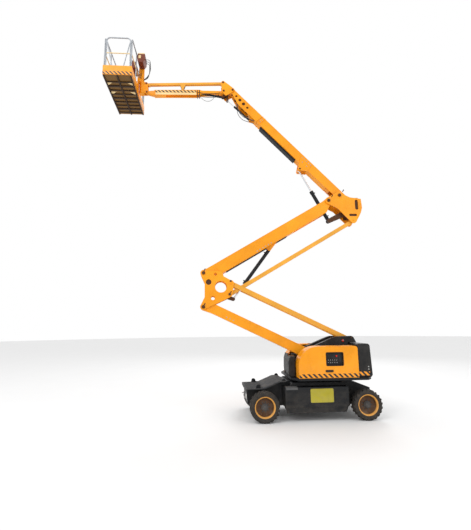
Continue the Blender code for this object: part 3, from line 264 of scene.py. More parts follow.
def rounded_path(points, radius, closed=False, steps=7):
    """Points of a bent tube: straight runs joined by arcs of the given radius."""
    points = [Vector(point) for point in points]
    count = len(points)
    path = []
    for i, corner in enumerate(points):
        if not closed and i in (0, count - 1):
            path.append(corner)
            continue
        before = (points[i - 1] - corner).normalized()
        after = (points[(i + 1) % count] - corner).normalized()
        half = before.angle(after) / 2
        reach = radius / math.tan(half)
        centre = corner + (before + after).normalized() * (radius / math.sin(half))
        first = corner + before * reach - centre
        last = corner + after * reach - centre
        sweep = first.angle(last)
        axis = first.cross(last).normalized()
        for step in range(steps + 1):
            turn = Matrix.Rotation(sweep * step / steps, 3, axis)
            path.append(centre + turn @ first)
    return path


def bent_tube(name, points, tube_radius, corner_radius, finish, body, slot, closed=False):
    """A tube along straight runs with rounded corners."""
    path = rounded_path(points, corner_radius, closed)
    return hose(name, path, tube_radius, finish, body, slot, False, closed)


# ---- Finishes -----------------------------------------------------------------------------

FINISHES = {}


class Nodes:
    """A material under construction: adds nodes and links their sockets."""

    def __init__(self, name, colour, roughness, metallic=0.0, coat=0.0):
        self.material = bpy.data.materials.new(name)
        self.material.use_nodes = True
        self.tree = self.material.node_tree
        self.shader = self.tree.nodes["Principled BSDF"]
        self.shader.inputs["Base Color"].default_value = (*colour, 1)
        self.shader.inputs["Roughness"].default_value = roughness
        self.shader.inputs["Metallic"].default_value = metallic
        self.shader.inputs["Coat Weight"].default_value = coat
        self.shader.inputs["Coat Roughness"].default_value = 0.12
        self.coords = self.add("ShaderNodeTexCoord").outputs["Object"]

    def add(self, kind, inputs=None, **settings):
        node = self.tree.nodes.new(kind)
        for key, value in settings.items():
            setattr(node, key, value)
        for key, value in (inputs or {}).items():
            if isinstance(value, bpy.types.NodeSocket):
                self.tree.links.new(value, node.inputs[key])
            else:
                node.inputs[key].default_value = value
        return node

    def set(self, socket, value):
        self.tree.links.new(value, self.shader.inputs[socket])

    def noise(self, scale, detail=4.0, roughness=0.55, vector=None):
        return self.add(
            "ShaderNodeTexNoise",
            {"Vector": vector or self.coords, "Scale": scale, "Detail": detail, "Roughness": roughness},
        ).outputs["Fac"]

    def math(self, operation, first, second=0.0, clamp=False):
        return self.add(
            "ShaderNodeMath", {0: first, 1: second}, operation=operation, use_clamp=clamp
        ).outputs[0]

    def ranged(self, value, low, high, to_low=0.0, to_high=1.0):
        return self.add(
            "ShaderNodeMapRange",
            {"Value": value, "From Min": low, "From Max": high, "To Min": to_low, "To Max": to_high},
        ).outputs["Result"]

    def mixed(self, factor, first, second):
        node = self.add("ShaderNodeMix", data_type="RGBA")
        for socket, value in ((0, factor), (6, first), (7, second)):
            if isinstance(value, bpy.types.NodeSocket):
                self.tree.links.new(value, node.inputs[socket])
            elif socket == 0:
                node.inputs[socket].default_value = value
            else:
                node.inputs[socket].default_value = (*value, 1)
        return node.outputs[2]

    def edges(self, radius, low=0.02, high=0.25):
        """A mask of the outer edges, from how far a rounded normal leans from the true one."""
        bevelled = self.add("ShaderNodeBevel", {"Radius": radius}, samples=4).outputs[0]
        true_normal = self.add("ShaderNodeNewGeometry").outputs["Normal"]
        lean = self.add(
            "ShaderNodeVectorMath", {0: bevelled, 1: true_normal}, operation="DOT_PRODUCT"
        ).outputs["Value"]
        return self.ranged(self.math("SUBTRACT", 1.0, lean), low, high)

    def bump(self, height, strength, distance, normal=None):
        inputs = {"Height": height, "Strength": strength, "Distance": distance}
        if normal is not None:
            inputs["Normal"] = normal
        output = self.add("ShaderNodeBump", inputs).outputs[0]
        self.set("Normal", output)
        return output

    def height_z(self):
        return self.add("ShaderNodeSeparateXYZ", {0: self.coords}).outputs["Z"]


def painted(
    name, colour, roughness=0.34, wear=0.5, dust=0.0, dust_top=1.4, under=(0.23, 0.17, 0.12), gloss=0.3
):
    """Sprayed enamel: slight mottling, dulled patches, chipped edges and road dust below."""
    make = Nodes(name, colour, roughness)
    make.shader.inputs["Specular IOR Level"].default_value = gloss
    broad = make.noise(1.7, 5)
    fine = make.noise(38, 6, 0.65)
    darker = tuple(value * 0.86 for value in colour)
    lighter = tuple(min(1.0, value * 1.08 + 0.004) for value in colour)
    base = make.mixed(make.ranged(broad, 0.35, 0.68), darker, lighter)
    streaks = make.add("ShaderNodeMapping", {"Vector": make.coords, "Scale": (9, 9, 0.9)}).outputs[0]
    grime = make.ranged(make.noise(2.2, 6, 0.6, streaks), 0.58, 0.80, 0, 0.26)
    base = make.mixed(grime, base, tuple(value * 0.45 for value in colour))
    chips = make.math("MULTIPLY", make.edges(0.007), make.ranged(fine, 0.50, 0.62))
    specks = make.ranged(make.noise(95, 3, 0.5), 0.79, 0.81)
    worn = make.math("MULTIPLY", make.math("MAXIMUM", chips, specks), wear, True)
    base = make.mixed(worn, base, under)
    if dust:
        low = make.ranged(make.height_z(), dust_top, 0.1)
        cloudy = make.math("MULTIPLY", low, make.ranged(make.noise(7, 6, 0.7), 0.36, 0.66))
        base = make.mixed(make.math("MULTIPLY", cloudy, dust, True), base, (0.32, 0.27, 0.21))
    make.set("Base Color", base)
    rough = make.ranged(make.noise(6, 5), 0.3, 0.7, roughness - 0.07, roughness + 0.14)
    make.set("Roughness", make.math("ADD", rough, make.math("MULTIPLY", worn, 0.35)))
    peel = make.math("ADD", make.noise(260, 2), make.math("MULTIPLY", make.noise(9, 3), 0.8))
    rounded = make.add("ShaderNodeBevel", {"Radius": 0.004}, samples=4).outputs[0]
    make.bump(peel, 0.08, 0.0010, rounded)
    return make.material


def moulded(name, colour, roughness=0.55, grain=420.0, dust=0.25):
    """Textured black moulding or rubber-like coating with a film of dust."""
    make = Nodes(name, colour, roughness)
    make.shader.inputs["Specular IOR Level"].default_value = 0.25
    film = make.math("MULTIPLY", make.ranged(make.noise(5, 7, 0.7), 0.38, 0.72), dust)
    base = make.mixed(film, colour, (0.22, 0.20, 0.175))
    rub = make.math("MULTIPLY", make.edges(0.006), make.ranged(make.noise(30, 4), 0.45, 0.65))
    base = make.mixed(make.math("MULTIPLY", rub, 0.5), base, tuple(value + 0.10 for value in colour))
    make.set("Base Color", base)
    make.set("Roughness", make.ranged(make.noise(14, 5), 0.3, 0.7, roughness - 0.1, roughness + 0.15))
    rounded = make.add("ShaderNodeBevel", {"Radius": 0.005}, samples=4).outputs[0]
    make.bump(make.noise(grain, 3), 0.35, 0.0008, rounded)
    return make.material


def metal(name, colour, roughness, brushed=0.0, stain=0.25):
    """Bare or plated metal with handling marks; brushed stretches its grain."""
    make = Nodes(name, colour, roughness, metallic=1.0)
    grain = make.add("ShaderNodeMapping", {"Vector": make.coords, "Scale": (30, 30, 900)}).outputs[0]
    patches = make.ranged(make.noise(11, 6, 0.65), 0.42, 0.74)
    base = make.mixed(make.math("MULTIPLY", patches, stain), colour, tuple(v * 0.42 for v in colour))
    make.set("Base Color", base)
    make.set("Roughness", make.ranged(make.noise(24, 5), 0.3, 0.7, roughness * 0.7, roughness * 1.5))
    height = make.noise(1.0, 2, 0.5, grain) if brushed else make.noise(60, 4)
    make.bump(height, 0.12 + brushed, 0.0006)
    return make.material


def zinc(name):
    """Galvanised tube: pale crystals of uneven grey."""
    make = Nodes(name, (0.36, 0.38, 0.40), 0.42, metallic=0.6)
    cells = make.add("ShaderNodeTexVoronoi", {"Vector": make.coords, "Scale": 70.0})
    tone = make.ranged(cells.outputs["Color"], 0, 1, 0.0, 1.0)
    base = make.mixed(tone, (0.25, 0.27, 0.29), (0.44, 0.46, 0.49))
    marks = make.ranged(make.noise(18, 6, 0.7), 0.60, 0.78, 0, 0.7)
    base = make.mixed(marks, base, (0.16, 0.14, 0.12))
    make.set("Base Color", base)
    make.set("Roughness", make.ranged(make.noise(30, 4), 0.3, 0.7, 0.3, 0.55))
    make.bump(make.noise(120, 3), 0.15, 0.0006)
    return make.material


def striped(name, direction, period, light, dark, phase=0.0):
    """Warning stripes: slanted bands in two colours, scuffed."""
    make = Nodes(name, light, 0.4)
    travel = make.add(
        "ShaderNodeVectorMath", {0: make.coords, 1: direction}, operation="DOT_PRODUCT"
    ).outputs["Value"]
    share = make.math("FRACT", make.math("ADD", make.math("DIVIDE", travel, period), phase))
    band = make.math("GREATER_THAN", share, 0.5)
    base = make.mixed(band, light, dark)
    scuff = make.ranged(make.noise(45, 6, 0.7), 0.58, 0.70, 0, 0.55)
    base = make.mixed(scuff, base, (0.26, 0.22, 0.17))
    make.set("Base Color", base)
    make.set("Roughness", make.ranged(make.noise(12, 4), 0.3, 0.7, 0.3, 0.55))
    make.bump(make.noise(180, 2), 0.12, 0.0006)
    return make.material


def rubber(name, dust=0.5):
    """Tyre rubber: dry, greyed by dust in the grooves and on the tread."""
    make = Nodes(name, (0.018, 0.017, 0.016), 0.82)
    cloud = make.ranged(make.noise(9, 7, 0.72), 0.36, 0.68)
    base = make.mixed(make.math("MULTIPLY", cloud, dust), (0.011, 0.010, 0.0095), (0.075, 0.058, 0.042))
    scuff = make.math("MULTIPLY", make.edges(0.010), make.ranged(make.noise(40, 4), 0.4, 0.7))
    base = make.mixed(make.math("MULTIPLY", scuff, 0.55), base, (0.22, 0.19, 0.155))
    make.set("Base Color", base)
    make.set("Roughness", make.ranged(make.noise(20, 4), 0.3, 0.7, 0.7, 0.95))
    make.bump(make.noise(150, 5, 0.7), 0.5, 0.0015)
    return make.material


def lens(name, colour):
    """A tinted lamp lens with a moulded diamond grain."""
    make = Nodes(name, colour, 0.12, coat=1.0)
    cells = make.add("ShaderNodeTexVoronoi", {"Vector": make.coords, "Scale": 160.0}).outputs["Distance"]
    make.set("Base Color", make.mixed(make.ranged(cells, 0, 0.6), colour, tuple(v * 0.45 for v in colour)))
    make.bump(cells, 0.5, 0.002)
    return make.material


# ---- Sizes and colours a user may change ----------------------------------------------------

def colour_prop(name, description, default):
    """A colour for the sidebar."""
    return bpy.props.FloatVectorProperty(
        name=name, description=description, default=default, subtype="COLOR", size=3, min=0, max=1
    )


def length_prop(name, description, default):
    """A length for the sidebar."""
    return bpy.props.FloatProperty(
        name=name, description=description, default=default, unit="LENGTH", min=0.0005
    )


class LiftPaintSettings(bpy.types.PropertyGroup):
    yellow: colour_prop("Yellow", "Enamel of booms, covers and platform", (0.90, 0.325, 0.003))
    pale: colour_prop("Pale yellow", "Faded enamel of the slim rods", (0.78, 0.36, 0.035))
    black: colour_prop("Black", "Paint of chassis and castings", (0.0075, 0.0085, 0.0105))
    # The underside colour is painted shade: a dark brown for the shaded underside of the yellow floor.
    rim: colour_prop("Wheel", "Enamel of the wheel dishes", (0.72, 0.34, 0.065))
    underside: colour_prop("Underside", "Primer below the platform floor", (0.17, 0.085, 0.018))
    wear: bpy.props.FloatProperty(
        name="Wear", description="How far edges are chipped", default=0.55, min=0, max=1
    )


class LiftFittingSettings(bpy.types.PropertyGroup):
    edge: length_prop("Edge radius", "Rounding of plate and box edges", 0.005)
    weld: length_prop("Weld bead", "Radius of the welds along the booms", 0.0045)
    hose: length_prop("Hose radius", "Radius of the hydraulic hoses", 0.009)
    lugs: bpy.props.IntProperty(name="Tread lugs", description="Lugs round each tyre", default=22)
    stripe: length_prop("Stripe pitch", "Length of one light and one dark stripe", 0.16)


def paints():
    """The colours and wear set in the sidebar."""
    return bpy.context.scene.lift_paint


def fittings():
    """The sizes set in the sidebar."""
    return bpy.context.scene.lift_fittings


# ---- Finishes of this machine --------------------------------------------------------------

def make_finishes():
    """Every finish of this machine, by its short name."""
    paint = paints()
    yellow, black = tuple(paint.yellow), tuple(paint.black)
    pitch = fittings().stripe
    FINISHES.update(
        yellow=painted("yellow_enamel", yellow, 0.33, paint.wear),
        cover=painted("cover_enamel", yellow, 0.28, paint.wear * 0.4, 0.35, 1.5),
        pale=painted("pale_enamel", tuple(paint.pale), 0.4, paint.wear),
        cream=painted("cream_enamel", (0.80, 0.60, 0.30), 0.42, 0.4),
        black=painted("black_paint", black, 0.40, 0.35, 0.14, 0.9, (0.10, 0.095, 0.09), 0.22),
        # link: a dark brown that is painted shade on the inner faces of links, knuckle and jib lug and on the
        # plates behind their openings; the pin ends take it too
        link=painted("dark_brown_and_painted_shade", (0.075, 0.026, 0.006), 0.55, 0.4),
        # underside: painted shade, a dark brown for the floor's shaded underside
        underside=painted("underside_painted_shade", tuple(paint.underside), 0.6, 0.5),
        rim=painted("wheel_enamel", tuple(paint.rim), 0.36, 0.5, 0.2, 0.7),
        hub=painted("hub_paint", (0.035, 0.035, 0.038), 0.5, 0.5, 0.4, 0.7, (0.14, 0.13, 0.12)),
        # disc: painted shade, a dark brown standing for the shaded recess of the wheel dish, with dust and wear on
        # top
        disc=painted("wheel_disc_painted_shade", (0.075, 0.027, 0.006), 0.6, 0.35, 0.35, 0.7),
        # rib: painted shade, a near-black brown for the ribs in the shade under the floor
        rib=painted("underside_rib_painted_shade", (0.030, 0.012, 0.004), 0.6, 0.3),
        deck=moulded("deck_grip", (0.030, 0.032, 0.036), 0.75, 190.0, 0.25),
        moulding=moulded("black_moulding", (0.007, 0.007, 0.0075), 0.42, 420.0, 0.10),
        hose=moulded("hose_rubber", (0.009, 0.009, 0.010), 0.45, 700.0, 0.15),
        grey_hose=moulded("cable_sheath", (0.09, 0.09, 0.095), 0.5, 600.0, 0.3),
        chrome=metal("hard_chrome", (0.78, 0.79, 0.81), 0.12, stain=0.12),
        steel=metal("zinc_plated_steel", (0.50, 0.50, 0.50), 0.36, 0.1, 0.5),
        step=moulded("step_grip", (0.075, 0.078, 0.082), 0.7, 240.0, 0.3),
        slew=metal("machined_ring", (0.30, 0.29, 0.28), 0.4, 0.2, 0.7),
        rail=zinc("galvanised_tube"),
        tyre=rubber("tyre_rubber"),
        red=painted("red_knob", (0.62, 0.018, 0.01), 0.3, 0.1),
        lamp=lens("red_lens", (0.75, 0.03, 0.02)),
        clear=lens("clear_lens", (0.75, 0.75, 0.72)),
        label=painted("blank_label", (0.80, 0.80, 0.76), 0.4, 0.2, 0.4, 1.0),
        lime=painted("blank_plate", (0.42, 0.36, 0.02), 0.35, 0.3, 0.3, 1.0),
        control=painted("control_brown", (0.17, 0.035, 0.015), 0.45, 0.4),
        door_stripe=striped("door_stripe", (1, 0, 1), pitch * 0.78, yellow, (0.008, 0.008, 0.009)),
        end_stripe=striped("end_stripe", (0, 1, 1), pitch * 1.25, yellow, (0.012, 0.012, 0.013)),
        jib_stripe=striped(
            "jib_stripe", (1, 0, 1.1), pitch * 0.68, (0.80, 0.50, 0.16), (0.02, 0.013, 0.009)
        ),
        floor_stripe=striped("floor_stripe", (1, 0, 1), pitch * 0.66, yellow, (0.012, 0.012, 0.013)),
        side_stripe=striped("side_stripe", (0, 1, 1), pitch * 0.9, yellow, (0.012, 0.012, 0.013)),
    )


def refinish(node, finish):
    """A new finish on a CAD node that keeps its shape."""
    mesh = frame["nodes"][node].data
    mesh.materials.clear()
    mesh.materials.append(FINISHES[finish])


# ---- Wheels --------------------------------------------------------------------------------

def wheel_point(centre, side, radius, angle, out):
    """A point on a wheel: radius and angle in its plane, and distance out from its middle."""
    return Vector((
        centre.x + radius * math.cos(angle),
        centre.y + side * out,
        centre.z + radius * math.sin(angle),
    ))


def tyre_lug(bm, centre, side, angle, hand, outer):
    """One tread lug: it leans forward towards the shoulder and wraps over it."""
    half_width, lean = 0.062, 0.16
    rows = (
        (0.006, outer, -0.30), (0.060, outer, 0.10), (0.108, outer - 0.003, 0.55),
        (0.1275, outer - 0.028, 0.80),
    )
    rings = []
    for out, radius, share in rows:
        middle = angle + lean * share
        wide = half_width * (1.15 if out > 0.05 else 0.85)
        base = min(radius - 0.004, 0.334) if out < 0.12 else radius - 0.02
        rings.append([
            bm.verts.new(wheel_point(centre, side, r, middle + turn, hand * out))
            for r, turn in ((base, -wide), (radius, -wide * 0.86), (radius, wide * 0.86), (base, wide))
        ])
    faces = [bm.faces.new(rings[0]), bm.faces.new(rings[-1][::-1])]
    for first, second in zip(rings, rings[1:]):
        for i in range(4):
            j = (i + 1) % 4
            faces.append(bm.faces.new((first[i], second[i], second[j], first[j])))
    bmesh.ops.recalc_face_normals(bm, faces=faces)


def make_tyre(node, side):
    """A turned tyre with two rows of lugs, half a pitch apart, in place of the plain one."""
    low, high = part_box(node)
    centre = (low + high) / 2
    outer = (high.z - low.z) / 2
    body = BODY_OF[node]
    half_profile = [
        (0.2335, 0.100), (0.240, 0.112), (0.252, 0.1165), (0.258, 0.1215), (0.266, 0.1225),
        (0.285, 0.1275), (0.300, 0.1285), (0.306, 0.1270), (0.318, 0.1255), (0.330, 0.117),
        (0.3355, 0.090), (0.337, 0.040),
    ]
    profile = half_profile + [(r, -h) for r, h in reversed(half_profile)]
    bm = bmesh.new()
    turned(bm, centre, (0, side, 0), profile, 88)
    count = fittings().lugs
    for i in range(count):
        angle = math.tau * i / count
        tyre_lug(bm, centre, side, angle, 1, outer)
        tyre_lug(bm, centre, side, angle + math.tau / count / 2, -1, outer)
    item = piece(f"{node}_lugged", bm, FINISHES["tyre"], body, 0.0022, 30)
    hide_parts(node)


def make_rim(node, side):
    """A deep dish in place of the plain rim, its drive hub, the wheel nuts and the valve."""
    low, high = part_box(node)
    centre = (low + high) / 2
    body = BODY_OF[node]
    bm = bmesh.new()
    dish = [
        (0.2325, 0.103), (0.2455, 0.106), (0.2465, 0.1115), (0.2435, 0.1145), (0.2360, 0.1140),
        (0.2260, 0.1060), (0.2170, 0.0900), (0.2120, 0.0640), (0.2040, 0.0500), (0.1960, 0.0250),
        (0.1860, 0.0120), (0.1600, 0.0070), (0.1450, 0.0120), (0.1290, 0.0160), (0.0860, 0.0160),
        (0.0860, -0.0100), (0.1860, -0.0100), (0.2000, -0.0850), (0.2190, -0.1030), (0.2325, -0.1030),
    ]
    turned(bm, centre, (0, side, 0), dish, 80)
    # Faces inside radius 0.213 take the disc finish: painted shade of the dish's deep recess.
    for face in bm.faces:
        spot = face.calc_center_median() - centre
        face.material_index = int(math.hypot(spot.x, spot.z) < 0.213)
    item = piece(f"{node}_dish", bm, FINISHES["rim"], body, 0.0, 35)
    item.data.materials.append(FINISHES["disc"])
    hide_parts(node)
    bm = bmesh.new()
    hub = [
        (0.0870, -0.005), (0.0870, 0.0480), (0.0830, 0.0560), (0.0640, 0.0590), (0.0620, 0.0820),
        (0.0580, 0.0870), (0.0060, 0.0890), (0.0060, -0.005),
    ]
    turned(bm, centre, (0, side, 0), hub, 48)
    bar(bm, centre, centre + Vector((0, side * 0.0885, 0)), 0.008, 16)
    piece(f"{node}_hub", bm, FINISHES["hub"], body, 0.0, 35)
    bm = bmesh.new()
    out = Vector((0, side, 0))
    for i in range(9):
        angle = math.tau * i / 9
        bolt(bm, wheel_point(centre, side, 0.112, angle, 0.016), out, 0.0125)
    for i in range(6):
        bolt(bm, wheel_point(centre, side, 0.043, math.tau * i / 6, 0.088), out, 0.006)
    foot, tip = (wheel_point(centre, side, away, 0.4, out) for away, out in ((0.176, 0.008), (0.168, 0.050)))
    bar(bm, foot, tip, 0.0045, 12)
    piece(f"{node}_nuts", bm, FINISHES["hub"], body, 0.0, 30)


class LIFT_OT_wheels(bpy.types.Operator):
    """Lugged tyres, deep wheel dishes, drive hubs and wheel nuts"""

    bl_idname = "lift.wheels"
    bl_label = "Wheels"

    def execute(self, context):
        for end in ("front", "rear"):
            for label, side in (("left", NEAR), ("right", FAR)):
                make_tyre(f"{end}_{label}_tyre", side)
                make_rim(f"{end}_{label}_rim", side)
        return {"FINISHED"}


# ---- Chassis ---------------------------------------------------------------------------------

BOX_SIDE, STEP_SIDE, COVER_SIDE = 0.8195, 0.8240, 0.8255  # out from the middle: box, steps, covers


def at_slew(arm_points):
    """An outline given from the slew axis, moved into the shared frame."""
    return [(SLEW_X + x, z) for x, z in arm_points]


def half_round(x, z, radius, low):
    """Outline of a lug: straight sides below, round above."""
    arc = [
        (x + radius * math.cos(math.pi * i / 12), z + radius * math.sin(math.pi * i / 12))
        for i in range(13)
    ]
    return [(x + radius * 1.25, low)] + arc + [(x - radius * 1.25, low)]


def blank_plate(name, finish, body, x, z, y, side, border=0.012):
    """A plate with a raised rim and four rivets, with nothing on it."""
    bm = bmesh.new()
    face = (y, y + side * 0.003)
    brick(bm, WORLD, x, sorted(face), z)
    raised = sorted((y + side * 0.003, y + side * 0.0045))
    for strip_x, strip_z in (
        (x, (z[0], z[0] + border)), (x, (z[1] - border, z[1])),
        ((x[0], x[0] + border), z), ((x[1] - border, x[1]), z),
    ):
        brick(bm, WORLD, strip_x, raised, strip_z)
    piece(name, bm, FINISHES[finish], body, 0.0008)
    bm = bmesh.new()
    for corner_x in (x[0] + border / 2, x[1] - border / 2):
        for corner_z in (z[0] + border / 2, z[1] - border / 2):
            start = Vector((corner_x, y + side * 0.004, corner_z))
            bar(bm, start, start + Vector((0, side * 0.002, 0)), border * 0.3, 12, border * 0.15)
    piece(f"{name}_rivets", bm, FINISHES["steel"], body)


def deck_grip():
    """Raised tread bars on the front deck, crossing in pairs."""
    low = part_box("front_deck")[0]
    bm = bmesh.new()
    for row in range(9):
        x = low.x + 0.05 + row * 0.046
        for column in range(23):
            y = low.y + 0.04 + column * 0.0478
            lean = 0.011 if (row + column) % 2 else -0.011
            start, end = Vector((x - 0.011, y - lean, 0)), Vector((x + 0.011, y + lean, 0))
            for point in (start, end):
                point.z = deck_top(point.x) + 0.0005
            bar(bm, start, end, 0.0035, 6)
    piece("deck_grip_bars", bm, FINISHES["deck"], "chassis")


def deck_top(x):
    """Height of the front deck's flat at x."""
    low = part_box("front_deck")[0]
    return low.z + 0.07 + 0.01 * (x - low.x) / 0.43


def deck_lugs():
    """Two lifting lugs on each side of the front deck."""
    bm = bmesh.new()
    for side in (NEAR, FAR):
        y = across(side, 0.515, 0.535)
        for x, z, radius in ((-1.34, 0.775, 0.055), (-0.71, 0.90, 0.05)):
            slab(bm, WORLD, half_round(SLEW_X + x, z, radius, z - 0.045), y)
            hub = Vector((SLEW_X + x, y[0], z + 0.01))
            bar(bm, hub - Vector((0, 0.004, 0)), hub + Vector((0, 0.028, 0)), radius * 0.5, 20)
    piece("deck_lifting_lugs", bm, FINISHES["black"], "chassis", 0.003)


def chassis_trim():
    """Skirts, access covers, bolts, steps, blank plates and tie-down rings."""
    bm = bmesh.new()
    for side in (NEAR, FAR):
        y = across(side, 0.790, 0.806)
        slab(bm, WORLD, at_slew([(-0.76, 0.34), (-0.70, 0.205), (0.72, 0.205), (0.79, 0.34)]), y)
        # Access covers on the side box.
        y = across(side, BOX_SIDE, COVER_SIDE)
        brick(bm, WORLD, (SLEW_X - 0.68, SLEW_X - 0.20), y, (0.385, 0.700))
        brick(bm, WORLD, (SLEW_X + 0.47, SLEW_X + 0.735), y, (0.42, 0.700))
    piece("chassis_skirts", bm, FINISHES["black"], "chassis", 0.004)
    bm = bmesh.new()
    for side in (NEAR, FAR):
        out = Vector((0, side, 0))
        for x in (-0.64, -0.44, -0.24, 0.51, 0.695):
            for z in (0.415, 0.67):
                bolt(bm, (SLEW_X + x, side * COVER_SIDE, z), out, 0.008)
        for x in (-1.50, -1.38, -0.98, 1.00, 1.28, 1.42):
            bolt(bm, (SLEW_X + x, side * 0.410, 0.62), out, 0.012)
    piece("chassis_bolts", bm, FINISHES["black"], "chassis")
    bm = bmesh.new()
    for side in (NEAR, FAR):
        x = (SLEW_X - 0.72, SLEW_X - 0.435)
        brick(bm, WORLD, x, across(side, BOX_SIDE, STEP_SIDE), (0.728, 0.785))
        brick(bm, WORLD, x, across(side, 0.66, STEP_SIDE), (0.7805, 0.7865))
    piece("step_plates", bm, FINISHES["step"], "chassis", 0.0015)
    for side, label in ((NEAR, "near"), (FAR, "far")):
        blank_plate(
            f"notice_{label}", "lime", "chassis", (SLEW_X - 0.134, SLEW_X + 0.423), (0.43, 0.745),
            side * 0.8205, side, 0.018,
        )
    bm = bmesh.new()
    brick(bm, WORLD, (0.1865, 0.1915), (-0.40, -0.22), (0.475, 0.570))
    piece("nose_label", bm, FINISHES["label"], "chassis", 0.001)
    # Tie-down shackles on the nose and the tail.
    for label, x, lean in (("front", 0.150, -1), ("rear", 3.318, 1)):
        for side in (NEAR, FAR):
            y = side * 0.30
            ring = [
                (x - lean * 0.02 + lean * 0.030 * math.cos(a), y + 0.034 * math.sin(a), 0.50)
                for a in (math.tau * i / 20 for i in range(20))
            ]
            hose(
                f"tie_down_{label}_{'near' if side == NEAR else 'far'}", ring, 0.008,
                FINISHES["steel"], "chassis", "steel", False, True,
            )


def steering_gear():
    """The steering cylinder beside the front axle, its rod and hoses; they don't move."""
    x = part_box("front_axle")[1].x + 0.045
    level = 0.345
    bm = bmesh.new()
    bar(bm, (x, -0.22, level), (x, 0.22, level), 0.033, 32)
    for side in (NEAR, FAR):
        bar(bm, (x, side * 0.205, level), (x, side * 0.235, level), 0.039, 32)
    brick(bm, WORLD, (x - 0.05, x + 0.03), (-0.05, 0.05), (0.30, 0.39))
    piece("steer_cylinder", bm, FINISHES["black"], "chassis", 0.002)
    bm = bmesh.new()
    bar(bm, (x, -0.47, level), (x, 0.47, level), 0.014, 24)
    piece("steer_cylinder_rod", bm, FINISHES["chrome"], "chassis")
    radius = fittings().hose
    for side in (NEAR, FAR):
        hose(
            f"steer_hose_{'near' if side == NEAR else 'far'}",
            [(x, side * 0.19, 0.375), (x + 0.02, side * 0.19, 0.43), (x + 0.10, side * 0.21, 0.46),
             (x + 0.20, side * 0.26, 0.44)],
            radius * 0.8, FINISHES["hose"], "chassis",
        )


class LIFT_OT_chassis(bpy.types.Operator):
    """Chassis, axles, deck, lugs, skirts and blank plates"""

    bl_idname = "lift.chassis"
    bl_label = "Chassis"

    def execute(self, context):
        edge = fittings().edge
        for node in ("chassis_frame", "front_axle", "rear_axle"):
            rounded_node(node, FINISHES["black"], edge * 1.6)
        rounded_node("front_deck", FINISHES["deck"], edge)
        for node in ("steering_knuckle_left", "steering_knuckle_right"):
            rounded_node(node, FINISHES["black"], edge * 0.6)
        refinish("slew_ring", "slew")
        low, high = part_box("slew_ring")
        middle = (low + high) / 2
        bm = bmesh.new()
        for i in range(30):
            angle = math.tau * i / 30
            spot = Vector((middle.x + 0.432 * math.cos(angle), 0.432 * math.sin(angle), low.z + 0.001))
            bolt(bm, spot, (0, 0, 1), 0.0105)
        piece("slew_ring_bolts", bm, FINISHES["steel"], "chassis")
        deck_grip()
        deck_lugs()
        chassis_trim()
        steering_gear()
        return {"FINISHED"}


# ---- Turntable --------------------------------------------------------------------------------

def door_window():
    """The recess in the near door: a gasket round it and the control panel inside."""
    x, z = (SLEW_X + 0.263, SLEW_X + 0.686), (1.275, 1.585)
    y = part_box("left_door")[0].y
    loop = [(x[0], y, z[0]), (x[1], y, z[0]), (x[1], y, z[1]), (x[0], y, z[1])]
    bent_tube("window_gasket", loop, 0.007, 0.03, FINISHES["moulding"], "left_door", "black_moulding", True)
    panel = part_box("ground_control_box")[0].y
    bm = bmesh.new()
    brick(bm, WORLD, (x[0] + 0.02, x[1] - 0.02), (panel - 0.006, panel + 0.002), (z[0] + 0.02, z[1] - 0.02))
    brick(bm, WORLD, (x[0] + 0.04, x[0] + 0.15), (panel - 0.010, panel), (z[1] - 0.13, z[1] - 0.05))
    brick(bm, WORLD, (x[1] - 0.10, x[1] - 0.045), (panel - 0.016, panel), (z[0] + 0.05, z[0] + 0.19))
    piece("ground_panel", bm, FINISHES["moulding"], "turntable", 0.002)
    bm = bmesh.new()
    for row in range(2):
        for column in range(5):
            spot = Vector((x[0] + 0.06 + column * 0.052, panel - 0.006, z[0] + 0.07 + row * 0.06))
            bar(bm, spot, spot + Vector((0, -0.012, 0)), 0.011, 20, 0.009)
            bar(bm, spot + Vector((0, -0.010, 0)), spot + Vector((0, -0.028, 0.010)), 0.0035, 12)
    piece("ground_panel_switches", bm, FINISHES["steel"], "turntable")
    bm = bmesh.new()
    spot = Vector((x[1] - 0.16, panel - 0.006, z[1] - 0.085))
    bar(bm, spot, spot + Vector((0, -0.016, 0)), 0.012, 24)
    bar(bm, spot + Vector((0, -0.014, 0)), spot + Vector((0, -0.027, 0)), 0.022, 32, 0.018)
    piece("ground_stop_button", bm, FINISHES["red"], "turntable")


def door_furniture(side, label):
    """A door's latch, hinge covers and stripes."""
    body = f"{label}_door"
    low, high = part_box(body)
    y = low.y if side == NEAR else high.y
    bm = bmesh.new()
    x = (SLEW_X + 0.235, SLEW_X + 0.425)
    brick(bm, WORLD, x, sorted((y, y + side * 0.006)), (1.130, 1.180))
    slab(
        bm, WORLD,
        [(x[0] + 0.015, 1.140), (x[0] + 0.015, 1.172), (x[1] - 0.06, 1.168), (x[1] - 0.06, 1.144)],
        sorted((y + side * 0.005, y + side * 0.014)),
    )
    bar(bm, (x[1] - 0.03, y, 1.155), (x[1] - 0.03, y + side * 0.011, 1.155), 0.012, 24)
    # A seam below the latch, and the covers of the two hinges on the roof's edge.
    brick(bm, WORLD, (x[0] + 0.02, x[1] - 0.02), sorted((y, y + side * 0.0015)), (1.112, 1.117))
    for hinge in (0.26, 0.68):
        spot = Vector((SLEW_X + hinge, side * 0.575, high.z - 0.004))
        brick(
            bm, WORLD, (spot.x - 0.035, spot.x + 0.035), across(side, 0.515, 0.60),
            (high.z - 0.006, high.z + 0.006),
        )
        start, end = (Vector((spot.x + shift, side * 0.512, high.z + 0.002)) for shift in (-0.032, 0.032))
        bar(bm, start, end, 0.009)
    piece(f"{label}_door_latch", bm, FINISHES["moulding"], body, 0.0015)
    bm = bmesh.new()
    strip = sorted((y + side * 0.0002, y + side * 0.0022))
    brick(bm, WORLD, (low.x + 0.006, high.x - 0.018), strip, (1.002, 1.092))
    piece(f"{label}_door_stripes", bm, FINISHES["door_stripe"], body, 0.0006)


